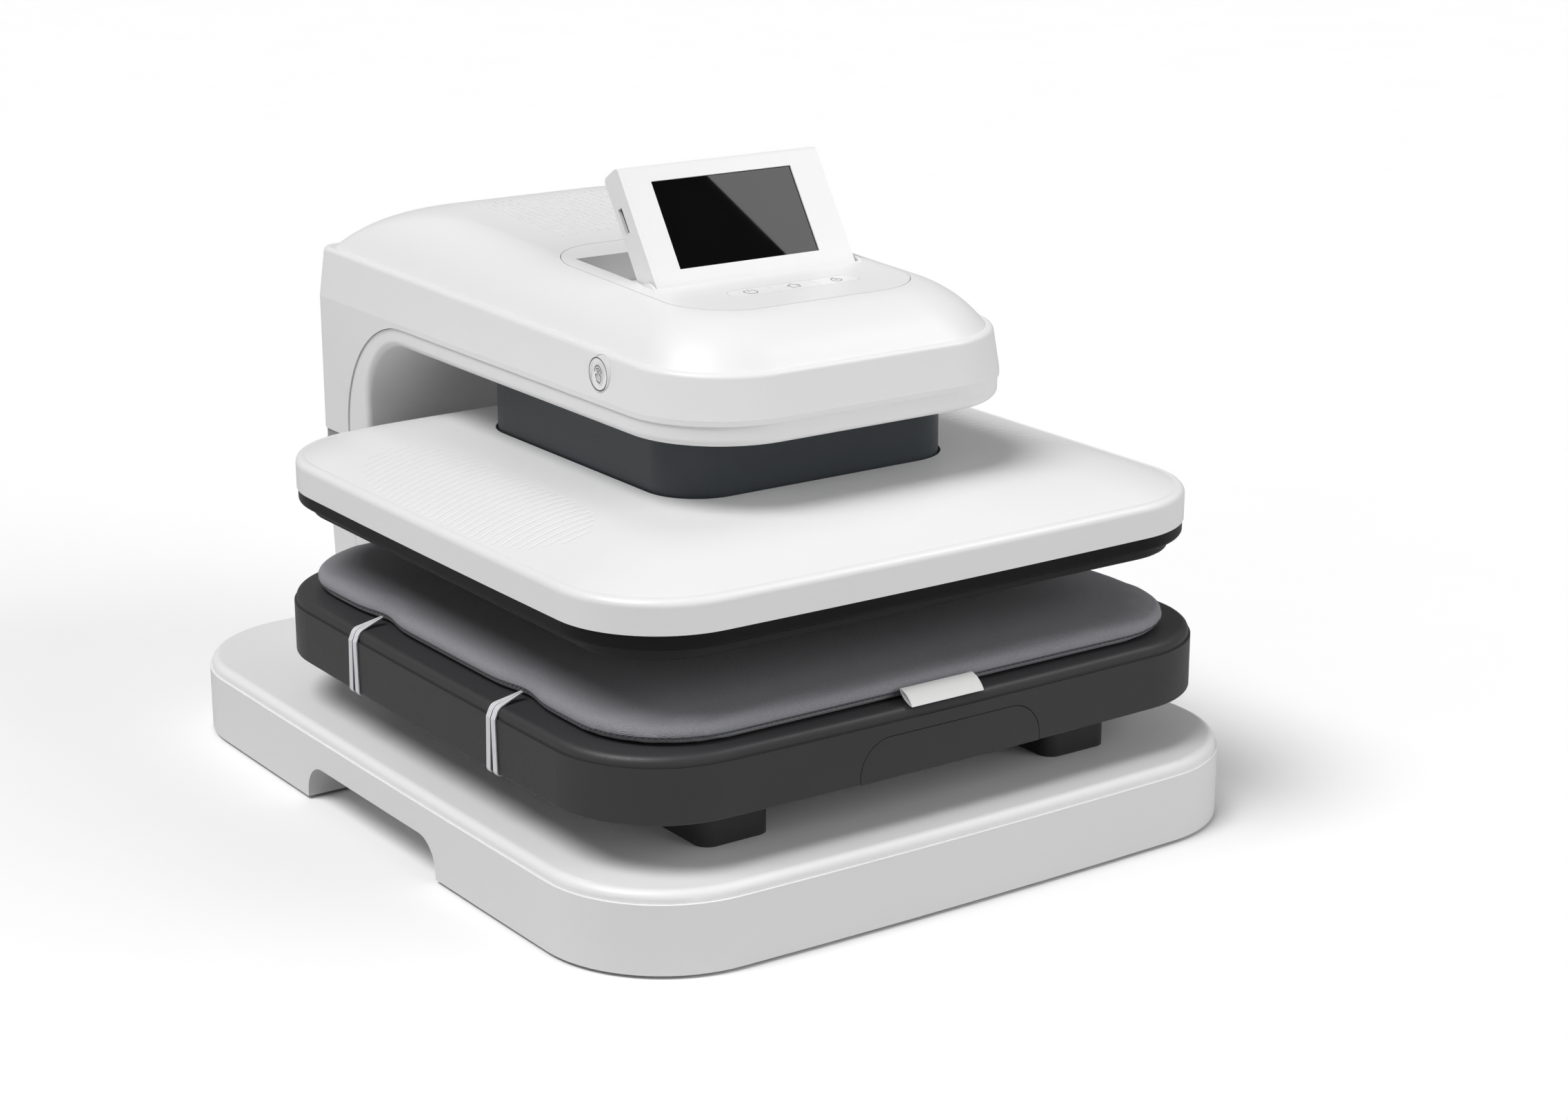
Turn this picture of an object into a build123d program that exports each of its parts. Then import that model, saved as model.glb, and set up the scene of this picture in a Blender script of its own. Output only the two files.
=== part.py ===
from build123d import *
from math import atan2, cos, radians, sin
import os

# Automatic heat press: a drawer bed slides out of a base, and a motor in the
# head lowers the heated platen onto the pad. Origin on the floor under the
# centre of the base, +Z up, the front at -Y, the platen up and the screen raised.

os.makedirs("parts", exist_ok=True)

# Base slab
ground_gap = 2.0
base_width = 440.0
base_depth = 535.0
base_height = 45.0
base_corner = 74.0
base_bow_side = 2.0
base_bow_front = 5.0
base_wall = 3.0
base_lip_height = 6.5
base_lip_inset = 1.4
base_lip_round = 5.0
notch_length = 152.0
notch_height = 21.5
notch_depth = 38.0
notch_round = 18.0
foot_radius = 14.0
foot_place_x = 165.0
foot_place_y = 210.0
plate_steel = 2.0
plate_gap = 0.4
edge_break = 0.8
small_corner = 2.0
ladder_setback = 10.0
base_tube_width = 24.0
base_tube_wall = 2.5

# Rails and glides between base and bed
rail_place_x = 116.0
rail_width = 43.5
rail_height = 28.0
rail_front = -216.0
rail_length = 346.0
rail_corner = 8.0
bed_gap = 0.5
shoe_length = 40.0
shoe_width = 25.0
shoe_neck = 14.0
shoe_front = -195.0
shoe_rear = -70.0
track_clearance = 0.3
track_wall = 1.5
track_height = 14.0
track_slot_gap = 1.0
track_end_gap = 1.0
track_lift = 2.0
rail_round = 1.5

# Bed, the drawer that carries the pad
bed_width = 414.0
bed_depth = 411.0
bed_place_y = -43.0
bed_height = 36.5
bed_corner = 63.5
bed_bow_side = 2.0
bed_bow_front = 4.0
bed_wall = 3.0
bed_lip_height = 6.0
bed_lip_inset = 1.2
bed_lip_round = 4.5
support_plate = 4.0
support_margin = 14.0
support_rib = 4.0
support_rib_pitch = 66.0
handle_width = 121.0
handle_height = 23.5
handle_round = 20.0
handle_gap = 0.4
handle_flange = 4.0
handle_flange_thickness = 2.0
handle_cut_reach = 12.0
handle_recess = 6.0
handle_side_wall = 12.0
handle_top_wall = 6.0
handle_inner_round = 10.0
bed_foot_round = 1.0

# Pad, straps and tag
pad_width = 384.0
pad_depth = 394.0
pad_place_y = -40.0
pad_thickness = 12.5
pad_corner = 58.0
pad_crown_inset = 18.0
soft_gap = 0.3
strap_places = (36.0, -120.0)
strap_width = 10.0
strap_thickness = 1.2
strap_hook = 14.0
tag_width = 48.0
tag_thickness = 1.6
tag_place_x = -3.0
tag_reach = 9.5
tag_drop = 7.0

# Platen, the heated head that comes down
platen_place_y = -41.0
closed_gap = 0.7
lift_stroke = 33.0
heat_plate_side = 380.0
heat_plate_thickness = 12.0
heat_plate_corner = 46.0
insulation_thickness = 4.0
element_radius = 3.5
element_clearance = 0.2
element_pitch = 58.0
element_margin = 18.0
terminal_reach = 8.0
terminal_clearance = 1.5
plate_edge_round = 1.5
plate_screw_margin = 22.0
plate_screw_side = 120.0
plate_screw_depth = 5.0
sensor_radius = 6.0
sensor_place_x = 60.0
sensor_stand = 2.0
sensor_chamfer = 0.6
rim_height = 8.5
rim_gap = 1.0
rim_flange = 8.0
rim_flange_thickness = 3.0
rim_inset = 0.8
rim_round = 2.5
backing_thickness = 3.0
backing_gap = 1.0
cover_width = 403.0
cover_depth = 405.0
cover_corner = 62.0
cover_bow_side = 1.5
cover_bow_front = 3.0
cover_wall = 3.0
cover_side_height = 18.5
cover_ridge_round = 4.0
cover_crown_inset = 5.5
cover_crown_run = 62.0
cover_crown_rise = 13.5
screw_radius_small = 2.0
screw_head_radius = 3.6
screw_head_height = 2.4
screw_clearance = 0.15
screw_chamfer = 0.5

# Lift shroud between platen and head
shroud_width = 189.0
shroud_depth = 216.6
shroud_corner = 30.7
shroud_place_y = -23.5
shroud_wall = 2.5
shroud_flange = 4.0
shroud_cover_gap = 1.4
shroud_head_gap = 1.5
shroud_hold = 2.0

# Head and column shells
head_clearance = 37.5
head_overhang = 23.0
shell_front = -176.0
shell_rear = 250.0
shell_front_corner = 60.0
shell_rear_corner = 14.0
shell_wall = 3.0
seam_gap = 0.3
lining_height = 11.5
lining_round = 4.0
lining_side = 24.5
column_front = 184.0
throat_radius = 46.0
seam_radius = 74.0
band_height_front = 27.0
band_height_rear = 33.5
band_lean = 4.0
band_foot = 3.0
band_round = 3.0
crown_inset = 8.0
crown_side_run = 38.5
crown_front_run = 42.0
crown_rear_run = 77.0
crown_front_rise = 24.0
crown_rear_rise = 30.0
crown_start_slope = 45.0
crown_foot = 1.0
crown_steps = 4
crown_rear_corner_share = 0.7
crown_top_wall = 4.0
trim_height = 7.5
trim_inset = 1.0
column_draft = 4.0
lining_inset = 1.0
lining_edge_band = 20.0
lining_nose_band = 30.0
lining_edge_match = 0.1
lining_hold_front_y = -90.0
lining_hold_offset = 1.5
lining_hold_width = 8.0
lining_hold_depth = 14.0
block_over = 20.0
cut_over = 10.0

# Control panel, screen and keys
panel_width = 156.0
panel_front = -130.0
panel_rear = 42.0
panel_corner = 38.0
panel_gap = 0.5
panel_thickness = 2.5
panel_ledge = 4.0
screen_width = 134.0
screen_height = 73.0
screen_thickness = 16.0
screen_lip_y = -68.0
screen_fold_angle = 54.5
screen_wall = 2.0
screen_round = 3.0
screen_side_gap = 1.5
lip_opening = 1.5
hinge_clearance = 0.6
hinge_wall = 3.0
tub_wall = 1.6
pin_radius = 2.5
pin_clearance = 0.05
pin_length = 3.2
display_width = 94.0
display_height = 53.0
display_bottom = 9.5
display_offset = -1.3
glass_thickness = 1.6
glass_sink = 0.8
glass_seat = 2.0
glass_side_gap = 0.2
glass_face_gap = 0.05
display_thickness = 3.2
display_margin = 1.5
display_board_margin = 5.0
display_board_inset = 1.0
display_board_reach = 0.5
port_length = 15.0
port_height = 4.0
port_depth = 3.0
port_place = 45.0
key_row_x = 3.0
key_row_y = -98.0
key_length = 28.4
key_width = 13.6
key_gap = 0.25
key_thickness = 3.0
key_board_margin_x = 3.4
key_board_margin_y = 7.2
key_board_drop = 4.0
key_boss_radius = 2.2
key_boss_inset_x = 8.0
key_boss_inset_y = 3.0
key_switch_side = 6.0
key_switch_height = 1.4
key_lip = 1.0
key_lip_bite = 0.2
button_radius = 10.0
button_y = -86.4
button_z = 272.0
button_travel = 1.5
button_gap = 0.25
button_thickness = 5.0
button_lip = 1.2
switch_gap = 0.8
start_switch_side = 12.0
home_switch_place = (40.0, 10.0)
home_switch_width = 6.0
home_switch_depth = 20.0

# Frame, drive and electrical pieces
frame_steel = 4.0
frame_side_gap = 2.0
frame_front = -112.0
frame_rear = 228.0
frame_post_depth = 36.0
frame_arm_height = 31.0
frame_elbow = 20.0
post_gap = 1.5
spine_thickness = 5.0
rod_radius = 5.0
rod_place_x = 72.0
rod_place_y = 38.0
bush_clearance = 0.05
bush_wall = 3.0
bush_length = 22.0
bush_flange = 2.5
carriage_width = 168.0
carriage_depth = 100.0
carriage_thickness = 6.0
carriage_drop = 21.0
post_radius = 6.0
post_place_x = 48.0
motor_bay_clearance = 4.5
rod_tail = 6.0
lift_screw_radius = 6.0
journal_radius = 5.0
bearing_radius = 18.0
bearing_height = 9.0
pulley_height = 10.0
pulley_lip = 1.0
pulley_lip_reach = 2.5
pulley_gap = 1.5
screw_pulley_radius = 22.0
motor_pulley_radius = 9.0
belt_thickness = 1.5
belt_clearance = 0.1
motor_offset = 58.5
motor_shaft_radius = 3.0
gearbox_radius = 18.5
gearbox_length = 24.0
motor_radius = 17.0
motor_length = 40.0
motor_bay = 60.0
bracket_thickness = 3.0
bracket_margin = 7.5
standoff_radius = 3.5
standoff_margin = 5.0
nut_radius = 10.0
nut_length = 18.0
nut_flange = 14.0
fan_side = 60.0
fan_depth = 15.0
fan_bore = 28.0
fan_hub = 12.0
fan_z = 214.0
fan_blades = 7
fan_corner = 3.0
fan_spider = 2.5
fan_arm = 3.0
fan_pin_radius = 1.5
fan_pin_length = 8.0
fan_bore_over = 0.5
rotor_gap = 3.0
rotor_length = 10.0
blade_thickness = 1.4
blade_angle = 35.0
inlet_width = 48.0
inlet_height = 27.0
inlet_depth = 22.0
inlet_z = 84.0
inlet_x = -40.0
board_width = 128.0
board_depth = 44.0
board_thickness = 1.6
board_gap = 5.2
board_lift = 10.0
board_boss_inset = 6.0
board_boss_radius = 3.0
board_block_places = (-35.0, 38.0)
board_block_width = 26.0
board_block_depth = 20.0
board_block_height = 9.0

bolt_radius = 3.0
bolt_head_radius = 5.5
bolt_head_height = 4.0
bolt_reach = 10.0
bolt_margin = 10.0
bolt_head_sides = 6

# Heights that follow from the stack
base_top = ground_gap + base_height
rail_top = base_top + rail_height
bed_bottom = rail_top + bed_gap
bed_top = bed_bottom + bed_height
pad_bottom = bed_top + soft_gap
pad_top = pad_bottom + pad_thickness
plate_bottom = pad_top + closed_gap + lift_stroke
plate_top = plate_bottom + heat_plate_thickness
backing_bottom = plate_top + insulation_thickness
backing_top = backing_bottom + backing_thickness
rim_bottom = backing_bottom - rim_height
cover_ridge = backing_bottom + cover_side_height
cover_top = cover_ridge + cover_crown_rise
underside = cover_top + head_clearance
seam_level = underside + lining_height
shroud_top = underside + shell_wall + lift_stroke + shroud_hold
spine_bottom = shroud_top + 1.0
spine_top = spine_bottom + spine_thickness
trim_top = backing_bottom
trim_bottom = trim_top - trim_height
band_front = seam_level + band_height_front
band_rear = seam_level + band_height_rear
crown_front_y = shell_front + crown_inset + crown_front_run
crown_rear_y = shell_rear - crown_inset - crown_rear_run
crown_front_z = band_front + crown_front_rise
crown_rear_z = band_rear + crown_rear_rise
panel_tilt = atan2(crown_rear_z - crown_front_z, crown_rear_y - crown_front_y)
shell_width = shroud_width + 2 * head_overhang
half_shell = shell_width / 2
seam_y = column_front + lining_side
base_inside_top = base_top - base_wall
foot_top = ground_gap + 0.5
base_plate_top = foot_top + plate_steel
frame_inside = shroud_width + 2 * frame_side_gap
tube_inner_x = frame_inside / 2 + frame_steel
board_y = shroud_place_y + shroud_depth / 2 + board_gap + board_depth / 2
board_level = spine_bottom - frame_arm_height + board_lift
key_board_width = 3 * key_length + 2 * key_board_margin_x
key_board_depth = key_width + 2 * key_board_margin_y
on_floor = (Align.CENTER, Align.CENTER, Align.MIN)


def plan_outline(width, depth, corner, bow_side=0.0, bow_front=0.0):
    """Rounded rectangle about the origin, its sides bowed out or in, or straight at zero."""
    half_w = width / 2
    half_d = depth / 2
    x = half_w - bow_side
    y = half_d - bow_front
    corners = [(x, -y), (x, y), (-x, y), (-x, -y)]
    middles = [(half_w, 0), (0, half_d), (-half_w, 0), (0, -half_d)]
    with BuildSketch(mode=Mode.PRIVATE) as outline:
        with BuildLine():
            for index in range(4):
                start = corners[index]
                end = corners[(index + 1) % 4]
                bow = bow_front if index % 2 else bow_side
                if bow:
                    ThreePointArc(start, middles[index], end)
                else:
                    Line(start, end)
        make_face()
        fillet(outline.vertices(), corner)
    return outline.sketch


def slab(width, depth, corner, bow_side, bow_front, bottom, top, place_y=0.0):
    """A flat slab of the rounded outline between two heights."""
    with BuildPart(mode=Mode.PRIVATE) as block:
        with BuildSketch(Plane.XY.offset(bottom)):
            with Locations((0, place_y)):
                add(plan_outline(width, depth, corner, bow_side, bow_front))
        extrude(amount=top - bottom)
    return block.part


def head_outline(inset=0.0):
    """Plan of head and column together: a big round nose and small rear corners."""
    half_w = half_shell - inset
    front = shell_front + inset
    rear = shell_rear - inset
    with BuildSketch(mode=Mode.PRIVATE) as outline:
        with BuildLine():
            Polyline((-half_w, front), (half_w, front), (half_w, rear), (-half_w, rear), close=True)
        make_face()
        corners = outline.vertices().group_by(Axis.Y)
        fillet(corners[0], shell_front_corner - inset)
        fillet(outline.vertices().group_by(Axis.Y)[-1], shell_rear_corner - inset)
    return outline.sketch


def crown_ring(inset_share, rise_share, shrink):
    """One level of the head's crown, as a tilted plane and the rounded outline on it."""
    half_w = half_shell - crown_inset - inset_share * crown_side_run - shrink
    front = shell_front + crown_inset + inset_share * crown_front_run + shrink
    rear = shell_rear - crown_inset - inset_share * crown_rear_run - shrink
    front_z = band_front + rise_share * crown_front_rise
    rear_z = band_rear + rise_share * crown_rear_rise
    tilt = atan2(rear_z - front_z, rear - front)
    length = (rear - front) / cos(tilt)
    normal = (0, -sin(tilt), cos(tilt))
    plane = Plane(origin=(0, front, front_z), x_dir=(1, 0, 0), z_dir=normal)
    front_corner = shell_front_corner - crown_inset - inset_share * (crown_side_run / 2) - shrink / 2
    rear_corner = shell_rear_corner + inset_share * crown_side_run * crown_rear_corner_share - shrink / 2
    with BuildSketch(mode=Mode.PRIVATE) as ring:
        with BuildLine():
            Polyline((-half_w, 0), (half_w, 0), (half_w, length), (-half_w, length), close=True)
        make_face()
        fillet(ring.vertices().group_by(Axis.Y)[0], front_corner)
        fillet(ring.vertices().group_by(Axis.Y)[-1], rear_corner)
    return plane, ring.sketch


def crown(shrink, drop):
    """The domed top of the head, or the hollow under it, from the crease to the flat."""
    start = radians(crown_start_slope)
    with BuildPart(mode=Mode.PRIVATE) as dome:
        for step in range(crown_steps + 1):
            slope = start * (1 - step / crown_steps)
            inset_share = (sin(start) - sin(slope)) / sin(start)
            rise_share = (cos(slope) - cos(start)) / (1 - cos(start))
            plane, ring = crown_ring(inset_share, rise_share, shrink)
            lowered = plane.offset(0)
            lowered.origin = plane.origin - Vector(0, 0, drop)
            with BuildSketch(lowered):
                add(ring)
        loft()
        plane, ring = crown_ring(0, 0, shrink)
        foot_plane = plane.offset(0)
        foot_plane.origin = plane.origin - Vector(0, 0, drop)
        with BuildSketch(foot_plane):
            add(ring)
        extrude(amount=-crown_foot)
    return dome.part


def tilted_outline(inset, front_z, rear_z):
    """The head's plan laid on a plane that climbs from the nose to the back."""
    length = (shell_rear - shell_front) - 2 * inset
    tilt = atan2(rear_z - front_z, length)
    plane = Plane(origin=(0, shell_front + inset, front_z), x_dir=(1, 0, 0), z_dir=(0, -sin(tilt), cos(tilt)))
    half_w = half_shell - inset
    slope_length = length / cos(tilt)
    with BuildSketch(mode=Mode.PRIVATE) as outline:
        with BuildLine():
            Polyline((-half_w, 0), (half_w, 0), (half_w, slope_length), (-half_w, slope_length), close=True)
        make_face()
        fillet(outline.vertices().group_by(Axis.Y)[0], shell_front_corner - inset)
        fillet(outline.vertices().group_by(Axis.Y)[-1], shell_rear_corner - inset)
    return plane, outline.sketch


def head_block(inset, drop, bottom):
    """The head and upper column as one block, before the throat is cut."""
    foot = seam_level + band_foot
    plane, ring = tilted_outline(band_lean + inset, band_front - drop, band_rear - drop)
    with BuildPart(mode=Mode.PRIVATE) as block:
        with BuildSketch(Plane.XY.offset(bottom)):
            add(head_outline(inset))
        extrude(amount=foot - bottom)
        with BuildSketch(Plane.XY.offset(foot)):
            add(head_outline(inset))
        with BuildSketch(plane):
            add(ring)
        loft(ruled=True)
        fillet(block.faces().sort_by(Axis.Z)[-1].edges(), band_round - inset / 2)
        add(crown(inset, drop))
    return block.part


def throat(roof, radius, wall_y, floor):
    """The space under an arch: below the roof and in front of the column wall."""
    open_end = shell_front - block_over
    with BuildPart(mode=Mode.PRIVATE) as space:
        with BuildSketch(Plane.YZ):
            with BuildLine():
                Line((open_end, floor), (open_end, roof))
                Line((open_end, roof), (wall_y - radius, roof))
                RadiusArc((wall_y - radius, roof), (wall_y, roof - radius), radius)
                Line((wall_y, roof - radius), (wall_y, floor))
                Line((wall_y, floor), (open_end, floor))
            make_face()
        extrude(amount=shell_width, both=True)
    return space.part


# Rubber feet under the base plate
with BuildPart() as rubber_feet:
    with BuildSketch():
        with GridLocations(2 * foot_place_x, 2 * foot_place_y, 2, 2):
            Circle(foot_radius)
    extrude(amount=foot_top)
    chamfer(rubber_feet.faces().group_by(Axis.Z)[0].edges(), edge_break)
rubber_feet.part.label = "rubber_feet"
export_step(rubber_feet.part, "parts/rubber_feet.step")

# Hand-hold notches in both sides of the base
notch_top = ground_gap + notch_height
with BuildPart(mode=Mode.PRIVATE) as notch:
    with BuildSketch(Plane.YZ):
        with Locations((0, (notch_top + ground_gap) / 2 - notch_height / 2)):
            RectangleRounded(notch_length, 2 * notch_height, notch_round)
    extrude(amount=base_width, both=True)
    with Locations((0, 0, ground_gap)):
        Box(base_width - 2 * notch_depth, base_depth, 3 * notch_height, mode=Mode.SUBTRACT)
with BuildPart(mode=Mode.PRIVATE) as notch_casing:
    with BuildSketch(Plane.YZ):
        with Locations((0, ground_gap)):
            RectangleRounded(notch_length + 2 * base_wall, 2 * (notch_height + base_wall), notch_round)
    extrude(amount=base_width / 2 - base_wall, both=True)
    inner_width = base_width - 2 * notch_depth - 2 * base_wall
    with Locations((0, 0, ground_gap)):
        Box(inner_width, base_depth, 4 * notch_height, mode=Mode.SUBTRACT)
    split(bisect_by=Plane.XY.offset(ground_gap), keep=Keep.TOP)

# Base shell: an upturned tray with a raised lip round its top
with BuildPart() as base_shell:
    lip_bottom = base_top - base_lip_height
    add(slab(base_width, base_depth, base_corner, base_bow_side, base_bow_front, ground_gap, lip_bottom))
    inner = 2 * base_lip_inset
    add(slab(base_width - inner, base_depth - inner, base_corner - base_lip_inset,
             base_bow_side, base_bow_front, lip_bottom, base_top))
    fillet(base_shell.faces().sort_by(Axis.Z)[-1].edges(), base_lip_round)
    inner = 2 * (base_wall + base_lip_inset)
    add(slab(base_width - inner, base_depth - inner, base_corner - base_wall - base_lip_inset,
             base_bow_side, base_bow_front, ground_gap, base_inside_top), mode=Mode.SUBTRACT)
    add(notch_casing.part)
    add(notch.part, mode=Mode.SUBTRACT)
    with BuildSketch(Plane.XY.offset(base_inside_top)):
        with Locations((0, frame_rear - frame_post_depth / 2)):
            RectangleRounded(2 * (tube_inner_x + post_gap), frame_post_depth + 2 * post_gap,
                             small_corner)
    extrude(amount=base_wall, mode=Mode.SUBTRACT)
base_shell.part.label = "base_shell"
export_step(base_shell.part, "parts/base_shell.step")

# Base plate that closes the shell from below
with BuildPart() as base_plate:
    inner = 2 * (base_wall + base_lip_inset + plate_gap)
    add(slab(base_width - inner, base_depth - inner, base_corner - inner / 2,
             base_bow_side, base_bow_front, foot_top, base_plate_top))
    inner_width = base_width - 2 * notch_depth - 2 * base_wall - 2 * plate_gap
    with BuildSketch(Plane.XY.offset(foot_top)):
        Rectangle(base_width, notch_length + 2 * base_wall + 2 * plate_gap)
        Rectangle(inner_width, base_depth, mode=Mode.SUBTRACT)
    extrude(amount=plate_steel, mode=Mode.SUBTRACT)
base_plate.part.label = "base_plate"
export_step(base_plate.part, "parts/base_plate.step")

# Welded ladder frame inside the base: two long tubes and three cross tubes
tube_outer_x = tube_inner_x + base_tube_width
tube_top = base_inside_top - seam_gap
ladder_front = rail_front + ladder_setback
bolt_rows_y = (frame_rear - frame_post_depth + bolt_margin,
               frame_rear - frame_steel - bolt_head_radius - 1)
bolt_rows_z = (base_plate_top + bolt_margin, tube_top - bolt_margin)
bolt_spots = [(y, z) for y in bolt_rows_y for z in bolt_rows_z]
with BuildPart() as base_frame:
    with BuildSketch(Plane.XY.offset(base_plate_top)):
        ladder_length = frame_rear - ladder_front
        with Locations((0, (frame_rear + ladder_front) / 2)):
            Rectangle(2 * tube_outer_x, ladder_length)
        bay = (ladder_length - 3 * base_tube_width - frame_post_depth) / 2
        for bay_index in range(2):
            bay_front = ladder_front + base_tube_width + bay_index * (bay + base_tube_width)
            with Locations((0, bay_front + bay / 2)):
                Rectangle(2 * tube_inner_x, bay, mode=Mode.SUBTRACT)
        with Locations((0, frame_rear - frame_post_depth / 2)):
            Rectangle(2 * tube_inner_x, frame_post_depth, mode=Mode.SUBTRACT)
    extrude(amount=tube_top - base_plate_top)
    tube_height = tube_top - base_plate_top
    for side in (-1, 1):
        tube_x = side * (tube_inner_x + base_tube_width / 2)
        with Locations((tube_x, (frame_rear + ladder_front) / 2, base_plate_top + tube_height / 2)):
            Box(base_tube_width - 2 * base_tube_wall, ladder_length + 2,
                tube_height - 2 * base_tube_wall, mode=Mode.SUBTRACT)
        with BuildSketch(Plane.YZ.offset(side * tube_inner_x)):
            with Locations(*bolt_spots):
                Circle(bolt_radius + screw_clearance)
        extrude(amount=side * 2 * base_tube_wall, mode=Mode.SUBTRACT)
base_frame.part.label = "base_frame"
export_step(base_frame.part, "parts/base_frame.step")

# Rail housings: the two dark beams that the bed runs over
with BuildPart() as rail_housings:
    with BuildSketch(Plane.XY.offset(base_top)):
        with Locations((0, rail_front + rail_length / 2)):
            with GridLocations(2 * rail_place_x, 0, 2, 1):
                RectangleRounded(rail_width, rail_length, rail_corner)
    extrude(amount=rail_height)
    fillet(rail_housings.faces().group_by(Axis.Z)[-1].edges(), rail_round)
rail_housings.part.label = "rail_housings"
export_step(rail_housings.part, "parts/rail_housings.step")

# Glide shoes on the rails, caught in the tracks of the bed
track_bottom = bed_bottom + track_lift
shoe_level = track_bottom + track_wall + track_clearance
shoe_top = track_bottom + track_height - track_wall - track_clearance
with BuildPart() as glide_shoes:
    shoe_spots = [(side * rail_place_x, y) for side in (-1, 1) for y in (shoe_front, shoe_rear)]
    with BuildSketch(Plane.XY.offset(rail_top)):
        with Locations(*shoe_spots):
            Rectangle(shoe_neck, shoe_length)
    extrude(amount=shoe_top - rail_top)
    with BuildSketch(Plane.XY.offset(shoe_level)):
        with Locations(*shoe_spots):
            Rectangle(shoe_width, shoe_length)
    extrude(amount=shoe_top - shoe_level)
    chamfer(glide_shoes.faces().group_by(Axis.Z)[-1].edges(), edge_break)
glide_shoes.part.label = "glide_shoes"
export_step(glide_shoes.part, "parts/glide_shoes.step")

# Bed shell: the dark tray, open below, with a raised lip like the base
bed_inside_top = bed_top - bed_wall
bed_front = bed_place_y - bed_depth / 2


def handle_prism(shrink, reach):
    """Arch-topped prism along Y that the handle insert is cut by."""
    with BuildPart(mode=Mode.PRIVATE) as prism:
        with BuildSketch(Plane.XZ.offset(-bed_front - reach)):
            with Locations((0, bed_bottom)):
                RectangleRounded(handle_width - 2 * shrink, 2 * (handle_height - shrink),
                                 handle_round - shrink)
        extrude(amount=2 * reach)
        split(bisect_by=Plane.XY.offset(bed_bottom), keep=Keep.TOP)
    return prism.part


with BuildPart() as bed_shell:
    lip_bottom = bed_top - bed_lip_height
    add(slab(bed_width, bed_depth, bed_corner, bed_bow_side, bed_bow_front,
             bed_bottom, lip_bottom, bed_place_y))
    inner = 2 * bed_lip_inset
    add(slab(bed_width - inner, bed_depth - inner, bed_corner - bed_lip_inset,
             bed_bow_side, bed_bow_front, lip_bottom, bed_top, bed_place_y))
    fillet(bed_shell.faces().sort_by(Axis.Z)[-1].edges(), bed_lip_round)
    fillet(bed_shell.faces().sort_by(Axis.Z)[0].edges(), bed_foot_round)
    inner = 2 * (bed_wall + bed_lip_inset)
    add(slab(bed_width - inner, bed_depth - inner, bed_corner - inner / 2,
             bed_bow_side, bed_bow_front, bed_bottom, bed_inside_top, bed_place_y), mode=Mode.SUBTRACT)
    add(handle_prism(0, handle_cut_reach), mode=Mode.SUBTRACT)
bed_shell.part.label = "bed_shell"
export_step(bed_shell.part, "parts/bed_shell.step")

# Handle insert: flush with the front, with a flange behind the shell's wall
handle_back = bed_wall + bed_lip_inset
with BuildPart() as bed_handle:
    add(handle_prism(handle_gap, handle_cut_reach))
    add(slab(bed_width, bed_depth, bed_corner, bed_bow_side, bed_bow_front, bed_bottom, bed_top, bed_place_y),
        mode=Mode.INTERSECT)
    flange_front = bed_front + handle_back + bed_bow_front / 2
    with BuildSketch(Plane.XZ.offset(-flange_front)):
        with Locations((0, bed_bottom + 1)):
            RectangleRounded(handle_width + 2 * handle_flange, 2 * (handle_height + handle_flange - 1),
                             handle_round)
    extrude(amount=-handle_flange_thickness)
    split(bisect_by=Plane.XY.offset(bed_bottom), keep=Keep.TOP)
    with BuildSketch(Plane.XZ.offset(-flange_front - handle_recess)):
        with Locations((0, bed_bottom)):
            RectangleRounded(handle_width - 2 * handle_side_wall, 2 * (handle_height - handle_top_wall),
                             handle_inner_round)
    extrude(amount=-handle_recess, mode=Mode.SUBTRACT)
    split(bisect_by=Plane.XZ.offset(-flange_front - handle_flange_thickness), keep=Keep.TOP)
bed_handle.part.label = "bed_handle"
export_step(bed_handle.part, "parts/bed_handle.step")

# Bed support: ribbed plate under the tray, and the two tracks it carries
track_top = track_bottom + track_height
support_width = bed_width - 2 * (bed_wall + bed_lip_inset + support_margin)
support_depth = bed_depth - 2 * (bed_wall + bed_lip_inset + support_margin)
with BuildPart() as bed_support:
    with BuildSketch(Plane.XY.offset(track_top)):
        with Locations((0, bed_place_y)):
            RectangleRounded(support_width, support_depth, bed_corner - support_margin)
    extrude(amount=support_plate)
    rib_height = bed_inside_top - track_top - support_plate
    with Locations((0, bed_place_y, track_top + support_plate)):
        with GridLocations(support_rib_pitch, 0, 4, 1):
            Box(support_rib, support_depth - 2 * bed_corner, rib_height, align=on_floor)
        with GridLocations(0, support_rib_pitch, 1, 4):
            Box(support_width - 2 * bed_corner, support_rib, rib_height, align=on_floor)
bed_support.part.label = "bed_support"
export_step(bed_support.part, "parts/bed_support.step")

track_outer = shoe_width + 2 * (track_clearance + track_wall)
track_front = bed_front + bed_wall + bed_lip_inset + bed_bow_front + track_end_gap
track_length = 2 * (bed_place_y - track_front)
with BuildPart() as bed_tracks:
    with Locations((-rail_place_x, track_front, track_bottom), (rail_place_x, track_front, track_bottom)):
        Box(track_outer, track_length, track_height, align=(Align.CENTER, Align.MIN, Align.MIN))
    with Locations((-rail_place_x, track_front, track_bottom), (rail_place_x, track_front, track_bottom)):
        with Locations((0, -1, track_wall)):
            Box(track_outer - 2 * track_wall, track_length + 2, track_height - 2 * track_wall,
                align=(Align.CENTER, Align.MIN, Align.MIN), mode=Mode.SUBTRACT)
        with Locations((0, -1, -1)):
            Box(shoe_neck + 2 * track_slot_gap, track_length + 2, track_wall + 2,
                align=(Align.CENTER, Align.MIN, Align.MIN), mode=Mode.SUBTRACT)
bed_tracks.part.label = "bed_tracks"
export_step(bed_tracks.part, "parts/bed_tracks.step")

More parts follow.
